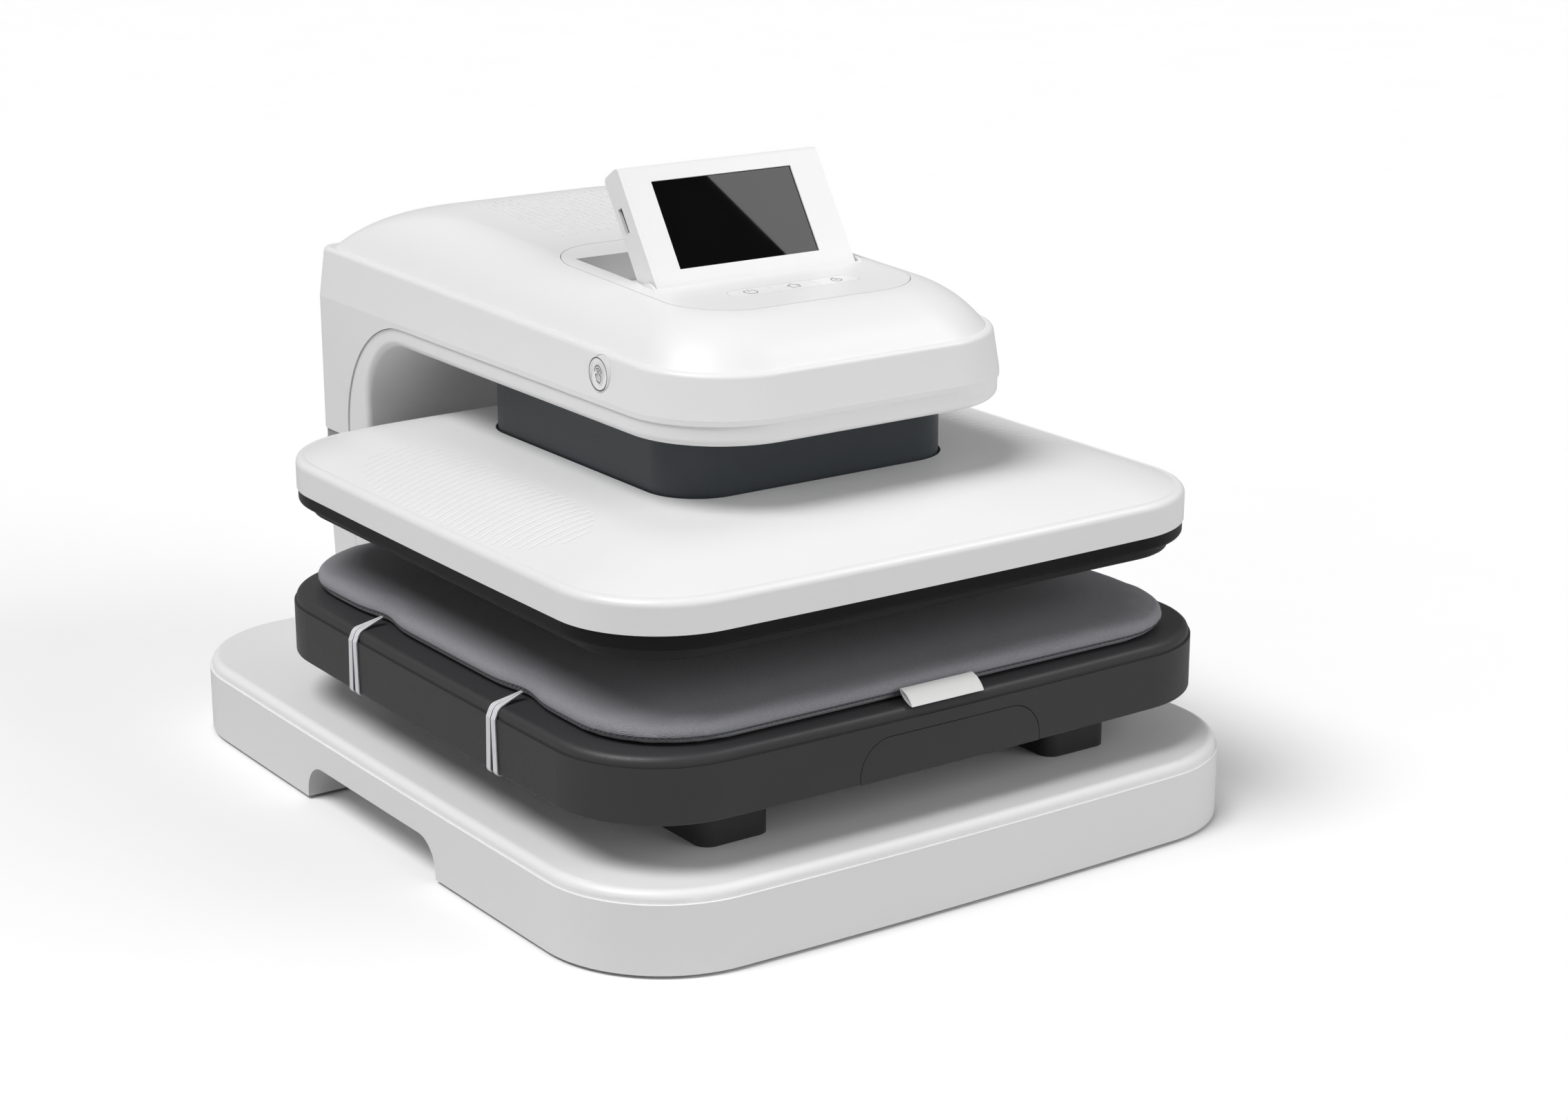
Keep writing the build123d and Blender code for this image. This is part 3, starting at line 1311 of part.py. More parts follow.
case_boss_radius = 6.0
screw_seat_depth = 3.5
vent_count = 18
vent_pitch = 5.3
vent_width = 1.5
vent_length = 99.0
vent_depth = 0.6
vent_middle_y = 115.5
rear_vent_count = 7
rear_vent_pitch = 7.0
rear_vent_width = 3.0
rear_vent_share = 1.6
with BuildPart() as head_top_shell:
    add(outer_block)
    add(hollow_block, mode=Mode.SUBTRACT)
    for side in (-1, 1):
        with BuildSketch(Plane.XZ.offset(-shell_rear + 1)):
            with Locations((side * case_screw_x, case_screw_levels[2])):
                Circle(case_boss_radius)
        extrude(amount=shell_rear - 1 - frame_rear - seam_gap)
    add(throat(seam_level, seam_radius, seam_y, trim_top - 2), mode=Mode.SUBTRACT)
    add(panel_prism(panel_gap, -panel_thickness, cut_over), mode=Mode.SUBTRACT)
    add(panel_prism(-panel_ledge, -block_over, cut_over), mode=Mode.SUBTRACT)
    vent_middle_u = (vent_middle_y - screen_lip_y) / cos(panel_tilt)
    with BuildSketch(panel_plane):
        with Locations((0, vent_middle_u)):
            with GridLocations(vent_pitch, 0, vent_count, 1):
                SlotOverall(vent_length, vent_width, rotation=90)
    extrude(amount=-vent_depth, mode=Mode.SUBTRACT)
    with BuildSketch(Plane.XZ.offset(-shell_rear)):
        with Locations((0, fan_z)):
            with GridLocations(0, rear_vent_pitch, 1, rear_vent_count):
                SlotOverall(fan_bore * rear_vent_share, rear_vent_width)
    extrude(amount=shell_wall, mode=Mode.SUBTRACT)
    with BuildSketch(Plane.XZ.offset(-shell_rear)):
        with Locations((case_screw_x, case_screw_levels[2]), (-case_screw_x, case_screw_levels[2])):
            Circle(screw_radius_small + screw_clearance)
    extrude(amount=shell_rear - frame_rear, mode=Mode.SUBTRACT)
    with BuildSketch(Plane.XZ.offset(-shell_rear)):
        with Locations((case_screw_x, case_screw_levels[2]), (-case_screw_x, case_screw_levels[2])):
            Circle(screw_head_radius + screw_clearance)
    extrude(amount=screw_seat_depth, mode=Mode.SUBTRACT)
    with BuildSketch(Plane.YZ.offset(-half_shell - 1)):
        with Locations((button_y, button_z)):
            Circle(button_radius + button_gap)
    extrude(amount=block_over, mode=Mode.SUBTRACT)
head_top_shell.part.label = "head_top_shell"
export_step(head_top_shell.part, "parts/head_top_shell.step")


def on_inner_arch(edge):
    """True for an outer edge of the lining where it turns under the arm or into the throat."""
    spot = edge @ 0.5
    before_turn = spot.Y < column_front - throat_radius
    under_turn = trim_top + 1 < spot.Z < underside - throat_radius
    straight = before_turn and abs(spot.Z - underside) < lining_edge_match
    upright = under_turn and abs(spot.Y - column_front) < lining_edge_match
    reach = ((spot.Y - column_front + throat_radius) ** 2 + (spot.Z - underside + throat_radius) ** 2) ** 0.5
    turned = abs(reach - throat_radius) < lining_edge_match
    outer = abs(spot.X) > half_shell - lining_edge_band or spot.Y < shell_front + lining_nose_band
    return outer and (straight or upright or turned)


# Head lining: the under shell of the arm that turns down the throat of the column
hold_spots = [(side * (tube_inner_x + lining_hold_offset), y, underside + shell_wall)
              for side in (-1, 1) for y in (lining_hold_front_y, board_y)]
with BuildPart() as head_lining:
    with BuildSketch(Plane.XY.offset(trim_top)):
        add(head_outline(lining_inset))
    extrude(amount=seam_level + block_over - trim_top)
    add(throat(seam_level - seam_gap, seam_radius, seam_y - seam_gap, trim_top - 2), mode=Mode.INTERSECT)
    add(throat(underside, throat_radius, column_front, trim_top - 2), mode=Mode.SUBTRACT)
    fillet([edge for edge in head_lining.edges() if on_inner_arch(edge)], lining_round)
    with BuildPart(mode=Mode.PRIVATE) as lining_hollow:
        with BuildSketch(Plane.XY.offset(trim_top - 1)):
            add(head_outline(lining_inset + shell_wall))
        extrude(amount=seam_level + block_over - trim_top)
        add(throat(underside + shell_wall, throat_radius + shell_wall, column_front + shell_wall,
                   trim_top - shell_wall), mode=Mode.SUBTRACT)
    add(lining_hollow.part, mode=Mode.SUBTRACT)
    with Locations(*hold_spots):
        hold_height = arm_bottom - seam_gap - underside - shell_wall
        Box(lining_hold_width, lining_hold_depth, hold_height, align=on_floor)
    with BuildSketch(Plane.XY.offset(underside - 1)):
        with Locations((0, shroud_place_y)):
            RectangleRounded(shroud_width + 2 * shroud_head_gap, shroud_depth + 2 * shroud_head_gap,
                             shroud_corner + shroud_head_gap)
    extrude(amount=shell_wall + cut_over, mode=Mode.SUBTRACT)
head_lining.part.label = "head_lining"
export_step(head_lining.part, "parts/head_lining.step")


def column_outline(inset, front, rear):
    """Plan of the column between two depths: sides inset, rear corners round."""
    half_w = half_shell - inset
    with BuildSketch(mode=Mode.PRIVATE) as outline:
        with BuildLine():
            Polyline((-half_w, front), (half_w, front), (half_w, rear), (-half_w, rear), close=True)
        make_face()
        fillet(outline.vertices().group_by(Axis.Y)[0], lining_round)
        fillet(outline.vertices().group_by(Axis.Y)[-1], shell_rear_corner - inset)
    return outline.sketch


def column_block(inset):
    """The lower column as a block, a little narrower at its foot than at its top."""
    with BuildPart(mode=Mode.PRIVATE) as block:
        for level, draft in ((base_top, column_draft), (trim_bottom, 0)):
            with BuildSketch(Plane.XY.offset(level)):
                setback = inset + draft
                add(column_outline(setback, column_front + setback, shell_rear - setback))
        loft(ruled=True)
    return block.part


# Trim band round the column, a little sunk between the upper and lower covers
with BuildPart() as column_trim:
    with BuildSketch(Plane.XY.offset(trim_bottom)):
        add(column_outline(trim_inset, column_front + trim_inset, shell_rear - trim_inset))
        add(column_outline(trim_inset + shell_wall, column_front + trim_inset + shell_wall,
                           shell_rear - trim_inset - shell_wall), mode=Mode.SUBTRACT)
    extrude(amount=trim_height)
column_trim.part.label = "column_trim"
export_step(column_trim.part, "parts/column_trim.step")

# Lower column covers, front and rear, standing on the base
column_outer = column_block(0)
column_inner = column_block(shell_wall)
with BuildPart() as column_front_cover:
    add(column_outer)
    add(column_inner, mode=Mode.SUBTRACT)
    split(bisect_by=Plane.XZ.offset(-seam_y + seam_gap / 2), keep=Keep.TOP)
column_front_cover.part.label = "column_front_cover"
export_step(column_front_cover.part, "parts/column_front_cover.step")

socket_width = 24.6
socket_height = 17.0
socket_depth = 15.0
socket_middle = -10.0
rocker_middle = 16.0
rocker_width = 13.4
rocker_height = 20.4
rocker_gap = 0.3
rocker_depth = 9.0
rocker_pin_radius = 1.5
socket_chamfer = 4.5
socket_pin_pitch = 7.0
socket_pin_drop = 2.0
socket_pin_width = 2.0
socket_pin_height = 4.0
socket_pin_sink = 3.0
inlet_flange = 4.0
inlet_flange_thickness = 2.0
column_screw_spots = [(side * case_screw_x, z) for side in (-1, 1) for z in case_screw_levels[:2]]
with BuildPart() as column_rear_cover:
    add(column_outer)
    add(column_inner, mode=Mode.SUBTRACT)
    with BuildSketch(Plane.XZ.offset(-frame_rear - seam_gap)):
        with Locations(*column_screw_spots):
            Circle(case_boss_radius)
    extrude(amount=frame_rear - inlet_face_y + shell_wall / 2)
    split(bisect_by=Plane.XZ.offset(-seam_y - seam_gap / 2), keep=Keep.BOTTOM)
    with BuildSketch(Plane.XZ.offset(-shell_rear - 1)):
        with Locations(*column_screw_spots):
            Circle(screw_radius_small + screw_clearance)
    extrude(amount=shell_rear + 1 - frame_rear, mode=Mode.SUBTRACT)
    with BuildSketch(Plane.XZ.offset(-shell_rear - 1)):
        with Locations(*column_screw_spots):
            Circle(screw_head_radius + screw_clearance)
    extrude(amount=screw_seat_depth + 1 + column_draft, mode=Mode.SUBTRACT)
    with BuildSketch(inlet_plane):
        Rectangle(inlet_width + 2 * seam_gap, inlet_height + 2 * seam_gap)
    extrude(amount=-2 * shell_wall, mode=Mode.SUBTRACT)
column_rear_cover.part.label = "column_rear_cover"
export_step(column_rear_cover.part, "parts/column_rear_cover.step")

# Case screws in the back: head in its seat, shank into the frame's spine
with BuildPart() as case_screws:
    for spots, seat_y in ((column_screw_spots, shell_rear - column_draft - screw_seat_depth),
                          (case_screw_spots[2::3], shell_rear - screw_seat_depth)):
        with BuildSketch(Plane.XZ.offset(-seat_y)):
            with Locations(*spots):
                Circle(screw_head_radius)
        extrude(amount=-screw_head_height)
        with BuildSketch(Plane.XZ.offset(-seat_y)):
            with Locations(*spots):
                Circle(screw_radius_small)
        extrude(amount=seat_y - spine_back_front)
case_screws.part.label = "case_screws"
export_step(case_screws.part, "parts/case_screws.step")

# Power inlet with its socket, and the rocker switch beside it
with BuildPart() as power_inlet:
    with BuildSketch(inlet_plane):
        RectangleRounded(inlet_width + 2 * inlet_flange, inlet_height + 2 * inlet_flange, small_corner)
    extrude(amount=inlet_flange_thickness)
    with BuildSketch(inlet_plane):
        Rectangle(inlet_width, inlet_height)
    extrude(amount=-inlet_depth)
    with BuildSketch(inlet_plane.offset(inlet_flange_thickness)) as socket_shape:
        with Locations((socket_middle, 0)):
            Rectangle(socket_width, socket_height)
        chamfer(socket_shape.vertices().group_by(Axis.Z)[-1], socket_chamfer)
    extrude(amount=-socket_depth - inlet_flange_thickness, mode=Mode.SUBTRACT)
    with BuildSketch(inlet_plane.offset(-socket_depth)):
        with Locations((socket_middle - socket_pin_pitch, -socket_pin_drop), (socket_middle, socket_pin_drop),
                       (socket_middle + socket_pin_pitch, -socket_pin_drop)):
            Rectangle(socket_pin_width, socket_pin_height)
    extrude(amount=socket_depth - socket_pin_sink)
    with BuildSketch(inlet_plane.offset(inlet_flange_thickness)):
        with Locations((rocker_middle, 0)):
            Rectangle(rocker_width + 2 * rocker_gap, rocker_height + 2 * rocker_gap)
    extrude(amount=-rocker_depth - inlet_flange_thickness, mode=Mode.SUBTRACT)
    with BuildSketch(Plane.YZ.offset(inlet_x - rocker_middle - rocker_width)):
        with Locations((inlet_face_y - rocker_depth / 2, inlet_z)):
            Circle(rocker_pin_radius)
    extrude(amount=2 * rocker_width)
power_inlet.part.label = "power_inlet"
export_step(power_inlet.part, "parts/power_inlet.step")

# Rocker's side view: how far out from its pin, which half, and how far short of that end
rocker_points = [(4.2, 0, 0.0), (7.5, 1, 1.6), (3.5, 1, 0.8), (-2.4, 1, 6.7), (-2.4, -1, 6.7),
                 (4.0, -1, 0.4), (5.5, -1, 0.2)]
with BuildPart() as rocker_switch:
    with BuildSketch(Plane.YZ.offset(inlet_x - rocker_middle - rocker_width / 2)):
        pivot_y = inlet_face_y - rocker_depth / 2
        with BuildLine():
            Polyline(*[(pivot_y + out, inlet_z + half * (rocker_height / 2 - short))
                       for out, half, short in rocker_points], close=True)
        make_face()
        with Locations((pivot_y, inlet_z)):
            Circle(rocker_pin_radius + pin_clearance, mode=Mode.SUBTRACT)
    extrude(amount=rocker_width)
rocker_switch.part.label = "rocker_switch"
export_step(rocker_switch.part, "parts/rocker_switch.step")

# Power supply in the column and control board over the lining
supply_side_gap = 6.5
supply_width = frame_inside / 2 - supply_side_gap
supply_height = 108.0
supply_depth = 30.0
with BuildPart() as power_supply:
    with Locations((supply_width / 2, spine_back_front, inlet_z - inlet_height / 2)):
        Box(supply_width, supply_depth, supply_height, align=(Align.CENTER, Align.MAX, Align.MIN))
    fillet(power_supply.edges().filter_by(Axis.Y), small_corner)
power_supply.part.label = "power_supply"
export_step(power_supply.part, "parts/power_supply.step")

with BuildPart() as control_board:
    with Locations((0, board_y, board_level)):
        Box(board_width, board_depth, board_thickness, align=on_floor)
    with Locations(*[(x, board_y, board_level + board_thickness) for x in board_block_places]):
        Box(board_block_width, board_block_depth, board_block_height, align=on_floor)
    with Locations((0, board_y, underside + shell_wall)):
        with GridLocations(board_width - 2 * board_boss_inset, board_depth - 2 * board_boss_inset, 2, 2):
            Cylinder(board_boss_radius, board_level - underside - shell_wall, align=on_floor)
control_board.part.label = "control_board"
export_step(control_board.part, "parts/control_board.step")

# Fan behind the column's vents: frame with its spider, and the rotor on a pin
fan_back = shell_rear - shell_wall
fan_front = fan_back - fan_depth
with BuildPart() as fan_frame:
    with BuildSketch(Plane.XZ.offset(-fan_back)):
        with Locations((0, fan_z)):
            RectangleRounded(fan_side, fan_side, fan_corner)
            Circle(fan_bore, mode=Mode.SUBTRACT)
    extrude(amount=fan_depth)
    with BuildSketch(Plane.XZ.offset(-fan_front - fan_spider)):
        with Locations((0, fan_z)):
            Circle(fan_hub)
            Rectangle(2 * fan_bore + 2, fan_arm)
            Rectangle(fan_arm, 2 * fan_bore + 2)
    extrude(amount=fan_spider)
    with BuildSketch(Plane.XZ.offset(-fan_front - fan_spider)):
        with Locations((0, fan_z)):
            Circle(fan_pin_radius)
    extrude(amount=-fan_pin_length)
fan_frame.part.label = "fan_frame"
export_step(fan_frame.part, "parts/fan_frame.step")

with BuildPart() as fan_rotor:
    rotor_front = fan_front + rotor_gap
    with BuildSketch(Plane.XZ.offset(-rotor_front)):
        with Locations((0, fan_z)):
            Circle(fan_hub)
    extrude(amount=-rotor_length)
    blade_place = Location(((fan_hub + fan_bore) / 2 - 1, 0, 0), (blade_angle, 0, 0))
    for blade in range(fan_blades):
        hub_turn = Location((0, rotor_front + rotor_length / 2, fan_z), (0, blade * 360 / fan_blades, 0))
        with Locations(hub_turn * blade_place):
            Box(fan_bore - fan_hub, blade_thickness, rotor_length)
    with BuildSketch(Plane.XZ.offset(-rotor_front)):
        with Locations((0, fan_z)):
            Circle(fan_pin_radius + bush_clearance)
    extrude(amount=-fan_pin_length - fan_bore_over, mode=Mode.SUBTRACT)
fan_rotor.part.label = "fan_rotor"
export_step(fan_rotor.part, "parts/fan_rotor.step")

# Screen axes: folding axis under the panel's face, face plane leaning back when raised
axis_drop = screen_thickness / 2
axis_shift = axis_drop * (1 - cos(radians(screen_fold_angle))) / sin(radians(screen_fold_angle))
screen_below = axis_shift
hinge_place = panel_plane.from_local_coords((0, axis_shift, -axis_drop))
face_lean = radians(90 - screen_fold_angle)
face_tip = panel_plane.from_local_coords((0, axis_shift - cos(face_lean), -axis_drop + sin(face_lean)))
face_out = face_tip - hinge_place
face_plane = Plane(origin=hinge_place + face_out * axis_drop, x_dir=(1, 0, 0), z_dir=face_out)
screen_total = screen_height + screen_below
tub_half = screen_width / 2 + screen_side_gap
tub_rear = axis_shift + screen_total + 1.0
tub_depth = screen_thickness + 1.0
socket_reach = tub_half + tub_wall + 2


def tub_space(growth):
    """Hollow that the folded screen lies in, grown by a wall where asked."""
    with BuildPart(mode=Mode.PRIVATE) as space:
        with BuildSketch(panel_plane.offset(-tub_depth - growth)):
            with Locations((0, (tub_rear - lip_opening) / 2)):
                Rectangle(2 * (tub_half + growth), tub_rear + lip_opening + 2 * growth)
        extrude(amount=tub_depth + growth + (0 if growth else cut_over))
        barrel = Plane(origin=hinge_place, x_dir=(0, 1, 0), z_dir=(1, 0, 0))
        with BuildSketch(barrel):
            Circle(screen_thickness / 2 + hinge_clearance + growth)
        extrude(amount=tub_half + growth, both=True)
    return space.part


# Control panel: rounded insert in the crown with the screen's tub and key openings
key_middle_u = (key_row_y - screen_lip_y) / cos(panel_tilt)
with BuildPart() as control_panel:
    add(outer_block)
    add(panel_prism(0, -panel_thickness, cut_over), mode=Mode.INTERSECT)
    add(tub_space(tub_wall))
    barrel_plane = Plane(origin=hinge_place, x_dir=(0, 1, 0), z_dir=(1, 0, 0))
    with BuildSketch(barrel_plane):
        Circle(pin_radius + hinge_wall)
    extrude(amount=socket_reach, both=True)
    add(tub_space(0), mode=Mode.SUBTRACT)
    with BuildSketch(barrel_plane):
        Circle(pin_radius + pin_clearance)
    extrude(amount=screen_width / 2 + pin_length + pin_clearance, both=True, mode=Mode.SUBTRACT)
    with BuildSketch(panel_plane):
        with Locations((key_row_x, key_middle_u)):
            SlotOverall(3 * key_length + 4 * key_gap, key_width + 2 * key_gap)
    extrude(amount=-2 * panel_thickness, both=True, mode=Mode.SUBTRACT)
    boss_span_x = key_board_width - 2 * key_boss_inset_x
    boss_span_y = key_board_depth - 2 * key_boss_inset_y
    with BuildSketch(panel_plane.offset(-panel_thickness)):
        with Locations((key_row_x, key_middle_u)):
            with GridLocations(boss_span_x, boss_span_y, 2, 2):
                Circle(key_boss_radius)
    extrude(amount=-key_board_drop)
control_panel.part.label = "control_panel"
export_step(control_panel.part, "parts/control_panel.step")

with BuildPart() as key_board:
    with BuildSketch(panel_plane.offset(-panel_thickness - key_board_drop)):
        with Locations((key_row_x, key_middle_u)):
            RectangleRounded(key_board_width, key_board_depth, small_corner)
    extrude(amount=-board_thickness)
    with BuildSketch(panel_plane.offset(-panel_thickness - key_board_drop)):
        with Locations((key_row_x, key_middle_u)):
            with GridLocations(key_length, 0, 3, 1):
                Rectangle(key_switch_side, key_switch_side)
    extrude(amount=key_switch_height)
key_board.part.label = "key_board"
export_step(key_board.part, "parts/key_board.step")


def key_body(index):
    """One third of the key pill, with a lip below the panel that keeps it in."""
    middle = key_row_x + index * (key_length + key_gap)
    with BuildPart(mode=Mode.PRIVATE) as body:
        with BuildSketch(panel_plane):
            with Locations((key_row_x, key_middle_u)):
                SlotOverall(3 * key_length + 2 * key_gap, key_width)
            with Locations((middle, key_middle_u)):
                Rectangle(key_length, key_width, mode=Mode.INTERSECT)
        extrude(amount=-key_thickness)
        with BuildSketch(panel_plane.offset(-key_thickness + key_lip_bite)):
            with Locations((middle, key_middle_u)):
                Rectangle(key_length - key_width, key_width + 2)
        extrude(amount=-key_lip)
    return body.part


key_parts = {"power_key": key_body(-1), "home_key": key_body(0), "menu_key": key_body(1)}
for key_name, key_part in key_parts.items():
    key_part.label = key_name
    export_step(key_part, f"parts/{key_name}.step")

# Screen: bezel in front, back shell behind with the pins, glass and display between
bezel_depth = screen_thickness / 2


def screen_block():
    """The screen's whole body, its lower end rounded about the hinge."""
    with BuildPart(mode=Mode.PRIVATE) as block:
        with BuildSketch(face_plane):
            with Locations((0, screen_total / 2)):
                Rectangle(screen_width, screen_total)
        extrude(amount=-screen_thickness)
        far_edges = block.edges().filter_by(Axis.X).sort_by(Axis.Z)[-2:]
        fillet(far_edges, screen_round)
        barrel = Plane(origin=hinge_place, x_dir=(0, 1, 0), z_dir=(1, 0, 0))
        with BuildSketch(barrel):
            Circle(screen_thickness / 2)
        extrude(amount=screen_width / 2, both=True)
    return block.part


screen_body = screen_block()
display_middle = screen_below + display_bottom + display_height / 2
with BuildPart() as front_half:
    with BuildSketch(face_plane.offset(-bezel_depth)):
        Rectangle(3 * screen_width, 3 * screen_total)
    extrude(amount=2 * bezel_depth)
with BuildPart() as screen_bezel:
    add(screen_body)
    add(front_half.part, mode=Mode.INTERSECT)
    with BuildSketch(face_plane.offset(-bezel_depth)):
        with Locations((0, screen_total / 2 + screen_wall)):
            Rectangle(screen_width - 2 * screen_wall, screen_total - 4 * screen_wall)
    extrude(amount=bezel_depth - screen_wall - glass_sink, mode=Mode.SUBTRACT)
    with BuildSketch(face_plane):
        with Locations((display_offset, display_middle)):
            Rectangle(display_width, display_height)
    extrude(amount=-bezel_depth, mode=Mode.SUBTRACT)
    with BuildSketch(face_plane.offset(-glass_sink)):
        with Locations((display_offset, display_middle)):
            Rectangle(display_width + 2 * glass_seat, display_height + 2 * glass_seat)
    extrude(amount=-bezel_depth, mode=Mode.SUBTRACT)
    with BuildSketch(Plane(origin=hinge_place, x_dir=(0, 1, 0), z_dir=(1, 0, 0))):
        Circle(pin_radius + pin_clearance)
    extrude(amount=screen_width, both=True, mode=Mode.SUBTRACT)
screen_bezel.part.label = "screen_bezel"
export_step(screen_bezel.part, "parts/screen_bezel.step")

with BuildPart() as screen_glass:
    with BuildSketch(face_plane.offset(-glass_sink - glass_face_gap)):
        with Locations((display_offset, display_middle)):
            glass_margin = 2 * (glass_seat - glass_side_gap)
            Rectangle(display_width + glass_margin, display_height + glass_margin)
    extrude(amount=-glass_thickness)
screen_glass.part.label = "screen_glass"
export_step(screen_glass.part, "parts/screen_glass.step")

with BuildPart() as display_module:
    display_front = glass_sink + glass_face_gap + glass_thickness
    with BuildSketch(face_plane.offset(-display_front)):
        with Locations((display_offset, display_middle)):
            Rectangle(display_width + 2 * display_margin, display_height + 2 * display_margin)
    extrude(amount=-display_thickness)
    with BuildSketch(face_plane.offset(-bezel_depth - display_board_reach)):
        with Locations((display_offset, display_middle)):
            Rectangle(display_width + 2 * display_board_margin, display_height - 2 * display_board_inset)
    extrude(amount=bezel_depth + display_board_reach - display_front - display_thickness)
display_module.part.label = "display_module"
export_step(display_module.part, "parts/display_module.step")

with BuildPart() as screen_back:
    add(screen_body)
    add(front_half.part, mode=Mode.SUBTRACT)
    with BuildSketch(face_plane.offset(-bezel_depth)):
        with Locations((0, screen_total / 2 + screen_wall)):
            Rectangle(screen_width - 2 * screen_wall, screen_total - 4 * screen_wall)
    extrude(amount=screen_wall - bezel_depth, mode=Mode.SUBTRACT)
    with BuildSketch(face_plane.offset(-bezel_depth)):
        with Locations((-screen_width / 2, screen_below + port_place)):
            Rectangle(2 * port_depth, port_length)
    extrude(amount=-port_height, mode=Mode.SUBTRACT)
    for side in (-1, 1):
        pin_plane = Plane(origin=hinge_place + Vector(side * (screen_width / 2 - screen_wall), 0, 0),
                          x_dir=(0, 1, 0), z_dir=(side, 0, 0))
        with BuildSketch(pin_plane):
            Circle(pin_radius)
        extrude(amount=screen_wall + pin_length)
screen_back.part.label = "screen_back"
export_step(screen_back.part, "parts/screen_back.step")

# Start button on the left side of the head, and the switches it and the lift work
with BuildPart() as start_button:
    with BuildSketch(Plane.YZ.offset(-half_shell - 1)):
        with Locations((button_y, button_z)):
            Circle(button_radius)
    extrude(amount=1 + button_thickness)
    add(outer_block, mode=Mode.INTERSECT)
    with BuildSketch(Plane.YZ.offset(-half_shell + button_thickness)):
        with Locations((button_y, button_z)):
            Circle(button_radius)
    extrude(amount=button_lip)
start_button.part.label = "start_button"
export_step(start_button.part, "parts/start_button.step")

with BuildPart() as micro_switches:
    with Locations((*home_switch_place, spine_bottom)):
        Box(home_switch_width, home_switch_depth, spine_bottom - carriage_top - 2,
            align=(Align.CENTER, Align.CENTER, Align.MAX))
    switch_front = -half_shell + button_thickness + button_lip + button_travel + switch_gap
    with Locations((-tube_inner_x, button_y, button_z)):
        Box(-tube_inner_x - switch_front, start_switch_side, start_switch_side,
            align=(Align.MAX, Align.CENTER, Align.CENTER))
micro_switches.part.label = "micro_switches"
export_step(micro_switches.part, "parts/micro_switches.step")
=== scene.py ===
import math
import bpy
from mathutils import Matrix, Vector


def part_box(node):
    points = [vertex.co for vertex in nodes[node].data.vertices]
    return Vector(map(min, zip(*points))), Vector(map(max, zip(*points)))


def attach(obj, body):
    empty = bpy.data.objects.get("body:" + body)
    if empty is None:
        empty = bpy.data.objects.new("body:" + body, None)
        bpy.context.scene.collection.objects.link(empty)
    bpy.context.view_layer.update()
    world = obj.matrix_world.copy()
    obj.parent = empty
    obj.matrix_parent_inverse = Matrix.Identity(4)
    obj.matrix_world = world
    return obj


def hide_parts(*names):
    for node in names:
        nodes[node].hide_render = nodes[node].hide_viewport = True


bl_info = {
    "name": "Automatic heat press",
    "version": (1, 0, 0),
    "blender": (4, 5, 0),
    "location": "3D View > Sidebar > Heat press",
    "description": "Dresses the heat press with its pad, elastic bands, marks, finishes and studio",
    "category": "Object",
}

import bpy
from bpy.props import FloatProperty, FloatVectorProperty, PointerProperty
from mathutils import Matrix, Vector

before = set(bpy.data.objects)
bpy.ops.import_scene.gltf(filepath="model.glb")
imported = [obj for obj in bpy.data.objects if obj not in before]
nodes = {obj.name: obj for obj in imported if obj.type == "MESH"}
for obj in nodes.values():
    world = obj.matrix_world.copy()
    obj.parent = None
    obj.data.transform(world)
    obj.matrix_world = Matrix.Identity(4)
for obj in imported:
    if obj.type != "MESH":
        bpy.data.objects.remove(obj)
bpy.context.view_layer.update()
pad_low, pad_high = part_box("press_pad")
tag_low, tag_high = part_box("pad_tag")
bed_low, bed_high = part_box("bed_shell")
button_low, button_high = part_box("start_button")
cover_low, cover_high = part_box("platen_cover")


# Settings

class PadSettings(bpy.types.PropertyGroup):
    swell: FloatProperty(
        name="Swell", description="Most that the felt may push the cover out",
        default=0.0008, unit="LENGTH")
    pinch: FloatProperty(
        name="Pinch", description="How far each elastic band pulls the pad's edge in",
        default=0.0046, unit="LENGTH")
    stitch_height: FloatProperty(
        name="Stitch height", description="Height of the hem stitches above the pad's underside",
        default=0.0041, unit="LENGTH")
    stitch_pitch: FloatProperty(
        name="Stitch pitch", description="Distance from one stitch to the next",
        default=0.0034, unit="LENGTH")
    cloth_light: FloatVectorProperty(
        name="Light yarn", description="Colour of the light yarn", subtype="COLOR",
        default=(0.37, 0.37, 0.395))
    cloth_dark: FloatVectorProperty(
        name="Dark yarn", description="Colour of the dark yarn", subtype="COLOR",
        default=(0.19, 0.19, 0.208))


class BandSettings(bpy.types.PropertyGroup):
    rear_place: FloatProperty(
        name="Rear band", description="Place of the rear pair of bands along the bed",
        default=0.036, unit="LENGTH")
    front_place: FloatProperty(
        name="Front band", description="Place of the front pair of bands along the bed",
        default=-0.120, unit="LENGTH")
    width: FloatProperty(
        name="Width", description="Width of one elastic band", default=0.0042, unit="LENGTH")
    spread: FloatProperty(
        name="Spread", description="Distance between a pair's middles at the bed's foot",
        default=0.0070, unit="LENGTH")
    thickness: FloatProperty(
        name="Thickness", description="Thickness of the elastic", default=0.0007, unit="LENGTH")
    colour: FloatVectorProperty(
        name="Colour", description="Colour of the elastic", subtype="COLOR",
        default=(0.80, 0.80, 0.83))


class TagSettings(bpy.types.PropertyGroup):
    fullness: FloatProperty(
        name="Fullness", description="Thickness of the folded tag at its middle",
        default=0.0036, unit="LENGTH")
    cloth: FloatProperty(
        name="Cloth", description="Thickness of the tag's woven tape", default=0.0005, unit="LENGTH")
    colour: FloatVectorProperty(
        name="Colour", description="Colour of the woven tape", subtype="COLOR",
        default=(0.86, 0.86, 0.85))


